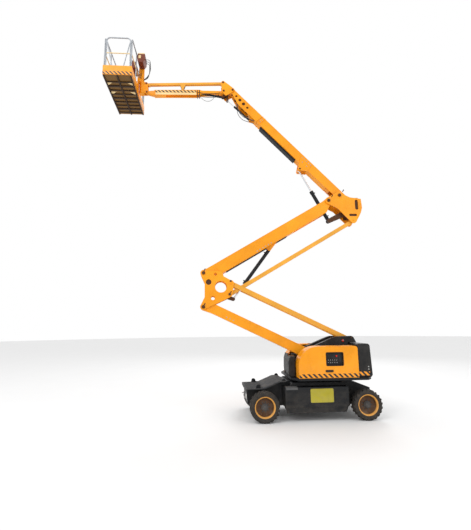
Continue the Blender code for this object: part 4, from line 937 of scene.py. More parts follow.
def louvres(name, body, x, y, z, count, side, finish="moulding"):
    """Rows of slanted slats in a pressed frame, on a face across Y."""
    bm = bmesh.new()
    brick(bm, WORLD, x, sorted((y, y + side * 0.004)), z)
    pitch = (z[1] - z[0] - 0.03) / count
    for i in range(count):
        base = z[0] + 0.015 + i * pitch
        slab_points = [
            (y + side * 0.003, base), (y + side * 0.016, base + pitch * 0.22),
            (y + side * 0.014, base + pitch * 0.40), (y + side * 0.003, base + pitch * 0.62),
        ]
        low_x, high_x = x[0] + 0.02, x[1] - 0.02
        start = [bm.verts.new((low_x, py, pz)) for py, pz in slab_points]
        end = [bm.verts.new((high_x, py, pz)) for py, pz in slab_points]
        faces = [bm.faces.new(start), bm.faces.new(end[::-1])]
        for k in range(4):
            n = (k + 1) % 4
            faces.append(bm.faces.new((start[k], end[k], end[n], start[n])))
        bmesh.ops.recalc_face_normals(bm, faces=faces)
    piece(name, bm, FINISHES[finish], body, 0.0012)


def rear_hood():
    """The counterweight hood's grille, stripes, reflectors and bolts."""
    low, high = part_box("counterweight")
    bm = bmesh.new()
    # A grille of upright bars on the back, in a frame.
    for i in range(15):
        y = -0.49 + i * 0.07
        brick(bm, WORLD, (high.x - 0.034, high.x - 0.018), (y - 0.010, y + 0.010), (1.30, 1.64))
    for z in (1.285, 1.655):
        brick(bm, WORLD, (high.x - 0.036, high.x - 0.014), (-0.53, 0.53), (z - 0.014, z + 0.014))
    for y in (-0.53, 0.53):
        brick(bm, WORLD, (high.x - 0.036, high.x - 0.014), (y - 0.014, y + 0.014), (1.271, 1.669))
    piece("rear_grille", bm, FINISHES["moulding"], "turntable", 0.0025)
    bm = bmesh.new()
    for side in (NEAR, FAR):
        brick(bm, WORLD, (low.x + 0.006, high.x - 0.075), across(side, 0.8402, 0.8425), (1.03, 1.12))
    piece("rear_side_stripes", bm, FINISHES["door_stripe"], "turntable")
    bm = bmesh.new()
    for side in (NEAR, FAR):
        for z in (1.175, 1.235):
            spot = Vector((high.x - 0.10, side * 0.8405, z))
            bar(bm, spot, spot + Vector((0, side * 0.008, 0)), 0.015, 28, 0.012)
    piece("rear_side_reflectors", bm, FINISHES["clear"], "turntable")
    bm = bmesh.new()
    for side in (NEAR, FAR):
        for z in (1.02, 1.70):
            for y in (0.25, 0.62):
                x = high.x - 0.006 if z < 1.5 else high.x - 0.019
                bolt(bm, (x, side * y, z + 0.05), (1, 0, 0.1), 0.013)
    piece("rear_hood_bolts", bm, FINISHES["steel"], "turntable")


def tower_lamp():
    """A red side lamp on each side of the tower's fairing."""
    side_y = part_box("tower_fairing")[0].y
    for side, label in ((NEAR, "near"), (FAR, "far")):
        bm = bmesh.new()
        spot = Vector((SLEW_X + 0.91, side * abs(side_y), 1.835))
        out = Vector((0, side, 0))
        bar(bm, spot - out * 0.002, spot + out * 0.010, 0.040, 36, 0.037)
        piece(f"side_lamp_{label}_bezel", bm, FINISHES["moulding"], "turntable", 0.001)
        bm = bmesh.new()
        turned(
            bm, spot, out,
            [
                (0.0005, 0.020), (0.012, 0.0195), (0.022, 0.017), (0.031, 0.011), (0.032, 0.008),
                (0.0005, 0.008),
            ],
            40,
        )
        piece(f"side_lamp_{label}", bm, FINISHES["lamp"], "turntable")


def front_hood(node, short):
    """A bulging hood in front of the door, with three pressed vents; short pulls its nose back."""
    low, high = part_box(node)
    nose = low.x + 0.012 + short
    bulge = [
        (high.x, low.z), (nose + 0.030, low.z), (nose + 0.004, low.z + 0.05), (nose, low.z + 0.14),
        (nose + 0.008, high.z - 0.14), (nose + 0.030, high.z - 0.055), (nose + 0.062, high.z - 0.012),
        (high.x, high.z),
    ]
    bm = bmesh.new()
    slab(bm, WORLD, bulge, (low.y, high.y))
    item = piece(f"{node}_finished", bm, FINISHES["moulding"], "turntable", 0.022)
    item.modifiers["rounded edges"].segments = 4
    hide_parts(node)
    bm = bmesh.new()
    for z in (1.24, 1.29, 1.34):
        brick(bm, WORLD, (nose - 0.003, nose + 0.02), (low.y + 0.06, high.y - 0.06), (z, z + 0.018))
    piece(f"{node}_vents", bm, FINISHES["moulding"], "turntable", 0.002)


def engine_exhaust():
    """What shows of the engine from above: silencer, air filter and battery box."""
    bm = bmesh.new()
    x, y = SLEW_X + 0.80, 0.44
    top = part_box("engine_block")[1].z
    bar(bm, (x, y, top), (x, y, top + 0.02), 0.075, 32)
    bar(bm, (x, y, top + 0.02), (x, y, top + 0.15), 0.058, 32)
    bar(bm, (x - 0.25, y, top), (x - 0.25, y, top + 0.09), 0.10, 36, 0.085)
    brick(bm, WORLD, (x - 0.62, x - 0.38), (0.33, 0.60), (top, top + 0.06))
    piece("engine_top", bm, FINISHES["steel"], "turntable", 0.004)


class LIFT_OT_turntable(bpy.types.Operator):
    """Covers, doors, hoods, ground controls and the tower"""

    bl_idname = "lift.turntable"
    bl_label = "Turntable"

    def execute(self, context):
        edge = fittings().edge
        rounded_node("turntable_base", FINISHES["black"], edge * 1.4)
        rounded_node("tower", FINISHES["black"], edge * 0.8)
        rounded_node("counterweight", FINISHES["moulding"], edge * 4)
        front_hood("left_front_cover", 0.0)
        front_hood("right_front_cover", 0.125)
        rounded_node("tower_fairing", FINISHES["moulding"], edge * 2.4)
        for node in ("left_door", "right_door"):
            rounded_node(node, FINISHES["cover"], edge * 1.6)
        rounded_node("engine_block", FINISHES["hub"], edge * 2)
        rounded_node("tank_and_battery_block", FINISHES["black"], edge * 2)
        rounded_node("ground_control_box", FINISHES["moulding"], edge)
        door_window()
        for side, label in ((NEAR, "left"), (FAR, "right")):
            door_furniture(side, label)
        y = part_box("right_door")[1].y
        louvres("engine_louvres", "right_door", (SLEW_X + 0.22, SLEW_X + 0.72), y, (1.25, 1.60), 9, FAR)
        rear_hood()
        tower_lamp()
        engine_exhaust()
        return {"FINISHED"}


# ---- Risers and links ---------------------------------------------------------------------------

def long_welds(name, arm, body, reach, section, half_width, inset=0.010):
    """Weld beads along the four long edges of a box boom, and a dash near each end."""
    radius = fittings().weld
    bm = bmesh.new()
    for side in (NEAR, FAR):
        y = side * (half_width - radius * 0.35)
        for above in (section[0] + inset, section[1] - inset):
            bar(bm, arm.at(reach[0], y, above), arm.at(reach[1], y, above), radius, 10)
        wall = across(side, half_width, half_width + 0.0012)
        for along in (reach[0] + 0.12, reach[1] - 0.18):
            brick(bm, arm, (along, along + 0.055), wall, (section[0] + 0.12, section[0] + 0.128))
    piece(name, bm, FINISHES["yellow"], body)


def end_weld_arcs(name, arm, body, ends, half_width, radius=0.17):
    """Curved welds where the end castings join the box."""
    weld = fittings().weld
    bm = bmesh.new()
    for centre, facing, middle in ends:
        for side in (NEAR, FAR):
            points = [
                arm.at(
                    centre + facing * radius * math.cos(math.radians(turn)),
                    side * half_width,
                    middle + radius * 0.62 * math.sin(math.radians(turn)),
                )
                for turn in range(-60, 61, 10)
            ]
            for first, second in zip(points, points[1:]):
                bar(bm, first, second, weld * 0.8, 8)
    piece(name, bm, FINISHES["yellow"], body)


def pivot_ends():
    """The ends of the linkage's pins on both sides, with keeper plates and their bolts."""
    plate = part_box("mid_link")[1].y - 0.0005
    rows = (
        ("tower", "turntable", (pin("riser_lift"), pin("lower_rod_pivot")), (0.046, 0.034)),
        ("mid", "mid_link", (pin("mid_link_pivot"), pin("upper_riser_pivot"), pin("upper_rod_pivot")),
         (0.046, 0.046, 0.034)),
        ("top", "top_link", (pin("top_link_pivot"), pin("boom_luff")), (0.046, 0.046)),
    )
    for label, body, places, radii in rows:
        bm = bmesh.new()
        bolts = bmesh.new()
        y = 0.190 if label == "tower" else plate
        for place, radius in zip(places, radii):
            for side in (NEAR, FAR):
                spot = Vector((place.x, side * y, place.z))
                pin_end(bm, spot, side, radius)
                flag = Arm(spot, spot + Vector((0.6, 0, 1)))
                keeper = across(side, y - 0.012, y - 0.003)
                brick(bm, flag, (radius * 0.5, radius * 2.1), keeper, (-0.013, 0.013))
                bolt(bolts, flag.at(radius * 1.8, side * (y - 0.003) - spot.y, 0), (0, side, 0), 0.007)
        piece(f"{label}_pin_ends", bm, FINISHES["link"], body, 0.0012)
        piece(f"{label}_pin_bolts", bolts, FINISHES["steel"], body)


def link_windows():
    """Dark plates behind the links' slots and the mid link's upper window, painted shade of the links' insides,
    and its stop pin.
    """
    # These plates are painted shade: dark brown where one looks into the links' shaded insides.
    for name, body, spans in (
        ("top_link_shade_plates", "top_link", ((3.34, 3.46, 5.38, 5.78), (3.13, 3.46, 5.22, 5.34))),
        ("mid_link_shade_plates", "mid_link", ((-0.85, -0.64, 3.28, 3.49),)),
    ):
        bm = bmesh.new()
        for side in (NEAR, FAR):
            for x0, x1, z0, z1 in spans:
                brick(bm, WORLD, (x0, x1), across(side, 0.1585, 0.1645), (z0, z1))
        piece(name, bm, FINISHES["link"], body, 0.001)
    bm = bmesh.new()
    for side in (NEAR, FAR):
        bar(bm, (-0.164, side * 0.186, 3.414), (-0.164, side * 0.197, 3.414), 0.030, 28, 0.026)
    piece("mid_link_stop_pins", bm, FINISHES["link"], "mid_link")


class LIFT_OT_risers(bpy.types.Operator):
    """Lower and upper risers, their rods and the links between them"""

    bl_idname = "lift.risers"
    bl_label = "Risers"

    def execute(self, context):
        edge = fittings().edge
        for node in ("lower_riser", "upper_riser"):
            rounded_node(node, FINISHES["yellow"], edge * 1.6)
        for node in ("lower_rod", "upper_rod"):
            rounded_node(node, FINISHES["pale"], edge * 0.8)
        # The links' inner faces, within 0.158 of the middle, take the link finish: painted shade between the side
        # plates.
        for node in ("mid_link", "top_link"):
            rounded_node(
                node, FINISHES["yellow"], edge * 0.5, FINISHES["link"],
                lambda spot, normal: abs(spot.y) < 0.158,
            )
        length = (pin("mid_link_pivot") - TOWER).length
        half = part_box("lower_riser")[1].y
        run = (0.28, length - 0.34)
        long_welds("lower_riser_welds", LOWER_RISER, "lower_riser", run, (-0.055, 0.195), half)
        end_weld_arcs(
            "lower_riser_end_welds", LOWER_RISER, "lower_riser",
            ((0.10, 1, 0.07), (length - 0.12, -1, 0.07)), half,
        )
        length = (pin("top_link_pivot") - pin("upper_riser_pivot")).length
        run = (0.45, length - 0.26)
        long_welds("upper_riser_welds", UPPER_RISER, "upper_riser", run, (-0.255, 0.065), half)
        end_weld_arcs(
            "upper_riser_end_welds", UPPER_RISER, "upper_riser",
            ((0.20, 1, -0.09), (length - 0.15, -1, -0.09)), half,
        )
        for body, arm, count, start, step, height in (
            ("upper_riser", UPPER_RISER, 6, 1.55, 0.09, -0.215),
            ("lower_riser", LOWER_RISER, 3, 2.55, 0.10, 0.02),
        ):
            bm = bmesh.new()
            for side in (NEAR, FAR):
                for i in range(count):
                    bolt(bm, arm.at(start + i * step, side * half, height), (0, side, 0), 0.011)
            piece(f"{body}_bolts", bm, FINISHES["steel"], body)
        pivot_ends()
        link_windows()
        return {"FINISHED"}


# ---- Cylinders -----------------------------------------------------------------------------------

def gland_and_ports(name, barrel_joint, rod_joint, node, radius):
    """Two ports with fittings and two collars on a cylinder's barrel."""
    arm = Arm(pin(barrel_joint), pin(barrel_joint) + Vector(JOINTS[rod_joint]["axis"]))
    low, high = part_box(node)
    reach = (Vector((high.x, 0, high.z)) - Vector((low.x, 0, low.z))).length - radius * 2.1
    body = BODY_OF[node]
    bm = bmesh.new()
    for along in (0.14, reach - 0.09):
        start = arm.at(along, 0, radius * 0.9)
        bar(bm, start, start + arm.up * 0.022, 0.016, 20)
        bar(bm, start + arm.up * 0.02, start + arm.up * 0.040, 0.013, 6)
    for along in (0.10, reach - 0.035):
        bar(bm, arm.at(along, 0, 0), arm.at(along + 0.012, 0, 0), radius * 1.07, 40)
    piece(name, bm, FINISHES["black"], body, 0.001)


class LIFT_OT_cylinders(bpy.types.Operator):
    """Barrels, rods, glands and ports of the hydraulic cylinders"""

    bl_idname = "lift.cylinders"
    bl_label = "Cylinders"

    def execute(self, context):
        for label, radius in (("riser", 0.048), ("luff", 0.050), ("slave", 0.026), ("jib", 0.030)):
            refinish(f"{label}_cylinder_barrel", "black")
            refinish(f"{label}_cylinder_rod", "chrome")
            gland_and_ports(
                f"{label}_cylinder_ports", f"{label}_barrel_pivot", f"{label}_rod_slide",
                f"{label}_cylinder_barrel", radius,
            )
        return {"FINISHED"}


# ---- Main boom and jib -----------------------------------------------------------------------------

def boom_fittings():
    """The frame round the main boom's mouth, its welds and bolts, and the luff eye's pin ends."""
    half = 0.118  # half the box's width
    section = (-0.085, 0.165)  # its foot and its top, from the boom's axis
    mouth = (section[0] - 0.01, section[1] + 0.01)
    plate = 0.132  # the outer face of the cheek plates at the luff eye
    bm = bmesh.new()
    for along in (3.085, 3.175):
        for side in (NEAR, FAR):
            brick(bm, BOOM, (along, along + 0.022), across(side, half, half + 0.010), mouth)
        brick(bm, BOOM, (along, along + 0.022), (-half, half), (section[1] - 0.002, section[1] + 0.010))
    for side in (NEAR, FAR):
        brick(bm, BOOM, (3.10, 3.18), across(side, half, half + 0.005), (-0.02, 0.10))
    piece("boom_mouth_frame", bm, FINISHES["yellow"], "main_boom", 0.002)
    long_welds("main_boom_welds", BOOM, "main_boom", (0.10, 3.07), section, half, 0.008)
    bm = bmesh.new()
    for side in (NEAR, FAR):
        out = Vector((0, side, 0))
        for along, above in ((3.12, 0.08), (3.12, 0.0), (3.155, 0.08), (3.155, 0.0)):
            bolt(bm, BOOM.at(along, side * (half + 0.005), above), out, 0.008)
        for along in (1.19, 1.27, 1.35, 1.43, 1.51):
            bolt(bm, BOOM.at(along, side * plate, 0.085), out, 0.010)
        for along in (1.25, 1.42):
            bolt(bm, BOOM.at(along, side * plate, -0.02), out, 0.010)
    piece("main_boom_bolts", bm, FINISHES["steel"], "main_boom")
    bm = bmesh.new()
    eye = BOOM.at(1.332, 0, -0.215)
    for side in (NEAR, FAR):
        pin_end(bm, eye + Vector((0, side * 0.128, 0)), side, 0.026)
    piece("luff_eye_pin_ends", bm, FINISHES["link"], "main_boom")


def head_windows():
    """Dark discs behind the round holes of the inner boom's head: painted shade of the box's inside."""
    bm = bmesh.new()
    for side in (NEAR, FAR):
        for along, above, radius in (
            (4.18, 0.062, 0.035), (4.02, 0.050, 0.047), (3.86, 0.042, 0.050), (3.70, 0.038, 0.036),
        ):
            bar(
                bm, BOOM.at(along, side * 0.0895, above), BOOM.at(along, side * 0.0845, above),
                radius + 0.012, 32,
            )
    piece("boom_head_shade_discs", bm, FINISHES["link"], "boom_extension")


def knuckle_pins():
    """The pins' ends on the jib knuckle and the platform bracket."""
    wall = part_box("jib_knuckle")[1].y - 0.0005
    bm = bmesh.new()
    for place, radius in ((HEAD, 0.032), (pin("jib_luff"), 0.028), (pin("jib_upper_pivot"), 0.028)):
        for side in (NEAR, FAR):
            pin_end(bm, (place.x, side * (wall - 0.008), place.z), side, radius)
    piece("knuckle_pin_ends", bm, FINISHES["link"], "jib_knuckle", 0.001)
    bm = bmesh.new()
    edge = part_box("platform_bracket")[1].y - 0.0005
    upper = pin("bracket_level") + (pin("jib_upper_pivot") - pin("jib_luff"))
    for place in (pin("bracket_level"), upper):
        for side in (NEAR, FAR):
            pin_end(bm, (place.x, side * (edge - 0.006), place.z), side, 0.026)
    piece("bracket_pin_ends", bm, FINISHES["control"], "platform_bracket", 0.001)


def jib_stripes():
    """Warning stripes on the upper half of the lower arm's side, a faded band below."""
    bm = bmesh.new()
    pale = bmesh.new()
    for side in (NEAR, FAR):
        wall = across(side, 0.0750, 0.0768)
        brick(bm, JIB_LOWER, (0.80, 1.98), wall, (-0.020, 0.048))
        brick(pale, JIB_LOWER, (0.80, 1.98), wall, (-0.092, -0.026))
    piece("jib_arm_stripes", bm, FINISHES["jib_stripe"], "jib_lower_arm")
    piece("jib_arm_pale_band", pale, FINISHES["cream"], "jib_lower_arm")
    bm = bmesh.new()
    for along in (0.70, 0.76):
        for side in (NEAR, FAR):
            brick(bm, JIB_LOWER, (along, along + 0.02), across(side, 0.074, 0.081), (-0.104, 0.064))
        brick(bm, JIB_LOWER, (along, along + 0.02), (-0.080, 0.080), (-0.112, -0.104))
    piece("jib_hose_clamps", bm, FINISHES["black"], "jib_lower_arm", 0.0015)


class LIFT_OT_boom(bpy.types.Operator):
    """Main boom, inner boom, hose tray, knuckle and jib"""

    bl_idname = "lift.boom"
    bl_label = "Boom and jib"

    def execute(self, context):
        edge = fittings().edge
        for node in ("main_boom", "boom_extension"):
            rounded_node(node, FINISHES["yellow"], edge * 0.7)
        # The knuckle's inner faces, within 0.11 of the middle, take the link finish: painted shade between its
        # cheeks.
        for node in ("jib_knuckle", "jib_lower_arm", "platform_bracket"):
            rounded_node(
                node, FINISHES["yellow"], edge * 0.6, FINISHES["link"],
                lambda spot, normal: abs(spot.y) < 0.11 and node == "jib_knuckle",
            )
        low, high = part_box("jib_upper_arm")
        lug = (low.x + high.x) / 2
        # Faces near the arm's middle, close to the centre line and below the lug, take the link finish: painted
        # shade inside the lug.
        rounded_node(
            "jib_upper_arm", FINISHES["pale"], edge * 0.5, FINISHES["link"],
            lambda spot, normal: abs(spot.x - lug) < 0.16 and abs(spot.y) < 0.035 and spot.z < 9.265,
        )
        rounded_node("hose_tray", FINISHES["black"], edge * 0.4)
        boom_fittings()
        head_windows()
        knuckle_pins()
        jib_stripes()
        return {"FINISHED"}


# ---- Platform -----------------------------------------------------------------------------------------

class Deck:
    """The platform's extents, from its rails and floor."""

    def __init__(self):
        self.low, self.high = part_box("platform_floor")
        self.tube = 0.017
        self.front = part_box("front_rail")[0].x + self.tube
        self.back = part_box("rear_rail")[1].x - self.tube
        self.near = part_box("front_rail")[0].y + self.tube
        self.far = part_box("front_rail")[1].y - self.tube
        self.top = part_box("front_rail")[1].z - self.tube
        self.floor = self.low.z + 0.05
        self.middle = self.low.z + 0.66


def side_rails(deck):
    """The two long sides: posts, mid rails and a bent top rail each."""
    for node, x in (("front_rail", deck.front), ("rear_rail", deck.back)):
        hoop = [
            (x, deck.near, deck.floor), (x, deck.near, deck.top),
            (x, deck.far, deck.top), (x, deck.far, deck.floor),
        ]
        item = bent_tube(f"{node}_hoop", hoop, deck.tube, 0.09, FINISHES["rail"], "platform", "rail")
        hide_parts(node)
        for y in (-0.30, 0.30):
            ends = [(x, y, deck.floor), (x, y, deck.top - 0.005)]
            where = "near" if y < 0 else "far"
            tube = deck.tube * 0.94
            hose(f"{node}_post_{where}", ends, tube, FINISHES["rail"], "platform", "rail", False)
        ends = [(x, deck.near, deck.middle), (x, deck.far, deck.middle)]
        hose(f"{node}_middle", ends, deck.tube * 0.8, FINISHES["cream"], "platform", "rail", False)
        feet = bmesh.new()
        for y in (deck.near, -0.30, 0.30, deck.far):
            bar(feet, (x, y, deck.floor), (x, y, deck.floor + 0.05), deck.tube * 1.35, 24, deck.tube * 1.25)
        piece(f"{node}_sockets", feet, FINISHES["rail"], "platform", 0.001)


def near_end_rail(deck):
    """The near end's hoop, its mid rail and two slanted braces."""
    low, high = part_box("left_rail")
    y = (low.y + high.y) / 2
    front, back = low.x + deck.tube, high.x - deck.tube
    middle = (front + back) / 2
    hoop = [(front, y, deck.floor), (front, y, deck.top), (back, y, deck.top), (back, y, deck.floor)]
    item = bent_tube("left_rail_hoop", hoop, deck.tube, 0.10, FINISHES["rail"], "platform", "rail")
    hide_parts("left_rail")
    ends = [(front, y, deck.middle), (back, y, deck.middle)]
    hose("left_rail_middle", ends, deck.tube * 0.8, FINISHES["cream"], "platform", "rail", False)
    for label, top_x, foot_x in (
        ("front", front + 0.01, middle - 0.11), ("back", back - 0.01, middle + 0.11),
    ):
        ends = [(top_x, y, deck.top - 0.10), (foot_x, y, deck.floor + 0.02)]
        hose(f"left_rail_brace_{label}", ends, deck.tube * 0.8, FINISHES["rail"], "platform", "rail", False)


def gate_rail(deck):
    """The gate's hoop, its two inner bars and its latch."""
    low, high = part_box("gate")
    y = (low.y + high.y) / 2
    front, back = low.x + deck.tube, high.x - deck.tube
    bottom = low.z + deck.tube
    hoop = [(front, y, bottom), (front, y, deck.top), (back, y, deck.top), (back, y, bottom)]
    item = bent_tube("gate_hoop", hoop, deck.tube, 0.05, FINISHES["rail"], "gate", "rail", True)
    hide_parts("gate")
    run = [(front, y, deck.middle), (back, y, deck.middle)]
    hose("gate_middle", run, 0.0135, FINISHES["cream"], "gate", "rail", False)
    middle = (front + back) / 2
    run = [(middle, y, bottom), (middle, y, deck.top)]
    hose("gate_post", run, 0.0135, FINISHES["rail"], "gate", "rail", False)
    bm = bmesh.new()
    height = deck.middle
    brick(bm, WORLD, (back - 0.075, back - 0.012), (y - 0.012, y + 0.012), (height + 0.05, height + 0.11))
    bar(bm, (back - 0.06, y - 0.03, height + 0.08), (back - 0.06, y - 0.01, height + 0.08), 0.014, 20)
    piece("gate_latch", bm, FINISHES["moulding"], "gate", 0.002)


def platform_floor(deck):
    """Ribs below the floor and a dark sheet under it, both in painted shade, its open grating above, gussets and
    the toe board's stripes.
    """
    rounded_node("platform_floor", FINISHES["yellow"], 0.0015)
    low, high = deck.low, deck.high
    # A dark sheet just under the floor: painted shade of the floor's underside.
    bm = bmesh.new()
    pan_x, pan_y = (low.x + 0.012, high.x - 0.012), (low.y + 0.012, high.y - 0.012)
    brick(bm, WORLD, pan_x, pan_y, (low.z - 0.002, low.z + 0.0006))
    piece("floor_painted_shade_sheet", bm, FINISHES["underside"], "platform")
    # The ribs' near-black brown is painted shade under the floor.
    bm = bmesh.new()
    for i in range(9):
        y = low.y + 0.28 + i * (high.y - low.y - 0.40) / 8
        wide = 0.030 if i % 3 == 1 else 0.016
        brick(bm, WORLD, (low.x + 0.02, high.x - 0.02), (y - wide, y + wide), (low.z - 0.026, low.z))
    for x in (low.x + 0.022, high.x - 0.022, (low.x + high.x) / 2):
        brick(bm, WORLD, (x - 0.018, x + 0.018), (low.y + 0.02, high.y - 0.02), (low.z - 0.032, low.z))
    piece("floor_ribs", bm, FINISHES["rib"], "platform", 0.002)
    bm = bmesh.new()
    for x, lean in ((low.x + 0.04, 1), (high.x - 0.04, -1)):
        for y in (low.y + 0.30, low.y + 0.70):
            corner = Vector((x, y, low.z - 0.004))
            points = [corner, corner + Vector((lean * 0.15, 0, 0)), corner + Vector((0, 0.13, 0))]
            below = [bm.verts.new(p) for p in points]
            above = [bm.verts.new(p + Vector((0, 0, -0.007))) for p in points]
            faces = [bm.faces.new(below), bm.faces.new(above[::-1])]
            for k in range(3):
                n = (k + 1) % 3
                faces.append(bm.faces.new((below[k], above[k], above[n], below[n])))
            bmesh.ops.recalc_face_normals(bm, faces=faces)
    piece("floor_gussets", bm, FINISHES["cream"], "platform")
    bm = bmesh.new()
    pitch = 0.036
    for i in range(int((high.y - low.y - 0.05) / pitch)):
        y = low.y + 0.03 + i * pitch
        brick(bm, WORLD, (low.x + 0.02, high.x - 0.02), (y, y + 0.004), (deck.floor, deck.floor + 0.004))
    for i in range(int((high.x - low.x - 0.04) / pitch)):
        x = low.x + 0.025 + i * pitch
        brick(bm, WORLD, (x, x + 0.004), (low.y + 0.02, high.y - 0.02), (deck.floor, deck.floor + 0.003))
    piece("floor_grating", bm, FINISHES["steel"], "platform")
    bm = bmesh.new()
    for side in (NEAR, FAR):
        y = across(side, high.y, high.y + 0.0018)
        top = low.z + (0.10 if side == NEAR else 0.075)
        brick(bm, WORLD, (low.x + 0.004, high.x - 0.004), y, (low.z + 0.006, top))
    piece("toe_board_end_stripes", bm, FINISHES["floor_stripe"], "platform")
    bm = bmesh.new()
    for x in (low.x, high.x):
        out = -1 if x == low.x else 1
        skin = sorted((x, x + out * 0.0018))
        brick(bm, WORLD, skin, (low.y + 0.004, high.y - 0.004), (low.z + 0.006, low.z + 0.10))
    piece("toe_board_side_stripes", bm, FINISHES["side_stripe"], "platform")


def platform_controls():
    """Levers, stop button and guard on the console, the foot pedal and the valve box."""
    rounded_node("control_console", FINISHES["control"], 0.006)
    rounded_node("foot_switch", FINISHES["moulding"], 0.008)
    low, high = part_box("control_console")
    x = (low.x + high.x) / 2 - 0.02
    top = high.z - 0.045
    bm = bmesh.new()
    for y in (-0.20, 0.03):
        bar(bm, (x, y, top - 0.01), (x, y, top + 0.022), 0.034, 32, 0.020)
        bar(bm, (x, y, top + 0.02), (x - 0.006, y, top + 0.085), 0.008, 16)
        bar(bm, (x - 0.006, y, top + 0.08), (x - 0.010, y, top + 0.125), 0.019, 24, 0.015)
    for i in range(5):
        y = -0.155 + i * 0.035
        bar(bm, (x, y, top - 0.005), (x, y, top + 0.012), 0.011, 20, 0.009)
        bar(bm, (x, y, top + 0.01), (x + 0.008, y, top + 0.032), 0.0035, 12)
    piece("console_levers", bm, FINISHES["moulding"], "platform", 0.001)
    bm = bmesh.new()
    bar(bm, (x + 0.045, 0.075, top), (x + 0.045, 0.075, top + 0.02), 0.012, 24)
    bar(bm, (x + 0.045, 0.075, top + 0.018), (x + 0.045, 0.075, top + 0.032), 0.021, 32, 0.017)
    piece("console_stop_button", bm, FINISHES["red"], "platform")
    guard = [
        (low.x - 0.01, low.y + 0.05, top - 0.05), (low.x - 0.01, low.y + 0.05, top + 0.12),
        (low.x - 0.01, high.y - 0.24, top + 0.12), (low.x - 0.01, high.y - 0.24, top - 0.05),
    ]
    bent_tube("console_guard", guard, 0.009, 0.04, FINISHES["rail"], "platform", "rail")
    low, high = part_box("foot_switch")
    bm = bmesh.new()
    slab(
        bm, WORLD,
        [(low.x + 0.012, high.z - 0.004), (high.x - 0.02, high.z - 0.020), (high.x - 0.02, high.z + 0.010),
         (low.x + 0.012, high.z + 0.022)],
        (low.y + 0.02, high.y - 0.02),
    )
    for i in range(6):
        grip = low.x + 0.03 + i * 0.02
        above = (high.z + 0.004, high.z + 0.022 - i * 0.0022)
        brick(bm, WORLD, (grip, grip + 0.007), (low.y + 0.025, high.y - 0.025), above)
    piece("foot_pedal", bm, FINISHES["steel"], "platform", 0.002)
    refinish("platform_support", "yellow")
    control_mount()


def control_mount():
    """The valve box on the post's head, outside the rear rail, with its lid, plate and glands."""
    x = (-2.785, -2.575)
    bm = bmesh.new()
    slab(
        bm, WORLD,
        [
            (x[0], 9.945), (x[0], 9.74), (x[0] + 0.04, 9.69), (x[1] - 0.05, 9.69),
            (x[1], 9.76), (x[1], 9.945),
        ],
        (-0.36, -0.06),
    )
    brick(bm, WORLD, (x[0] + 0.02, x[1] - 0.03), (-0.07, 0.02), (9.80, 9.86))
    piece("valve_box", bm, FINISHES["control"], "platform", 0.006)
    bm = bmesh.new()
    brick(bm, WORLD, (x[0] + 0.012, x[1] - 0.012), (-0.345, -0.075), (9.946, 9.984))
    brick(bm, WORLD, (x[0] + 0.03, x[0] + 0.10), (-0.368, -0.360), (9.80, 9.90))
    piece("valve_box_lid", bm, FINISHES["cream"], "platform", 0.008)
    bm = bmesh.new()
    for i in range(3):
        spot = Vector((x[1] - 0.01, -0.12 - i * 0.08, 9.82))
        bar(bm, spot, spot + Vector((0.030, 0, 0.004)), 0.016, 24, 0.012)
    piece("valve_box_glands", bm, FINISHES["moulding"], "platform")


class LIFT_OT_platform(bpy.types.Operator):
    """Rails, gate, floor, toe boards and controls of the platform"""

    bl_idname = "lift.platform"
    bl_label = "Platform"

    def execute(self, context):
        deck = Deck()
        side_rails(deck)
        near_end_rail(deck)
        gate_rail(deck)
        platform_floor(deck)
        platform_controls()
        return {"FINISHED"}


# ---- Hoses ------------------------------------------------------------------------------

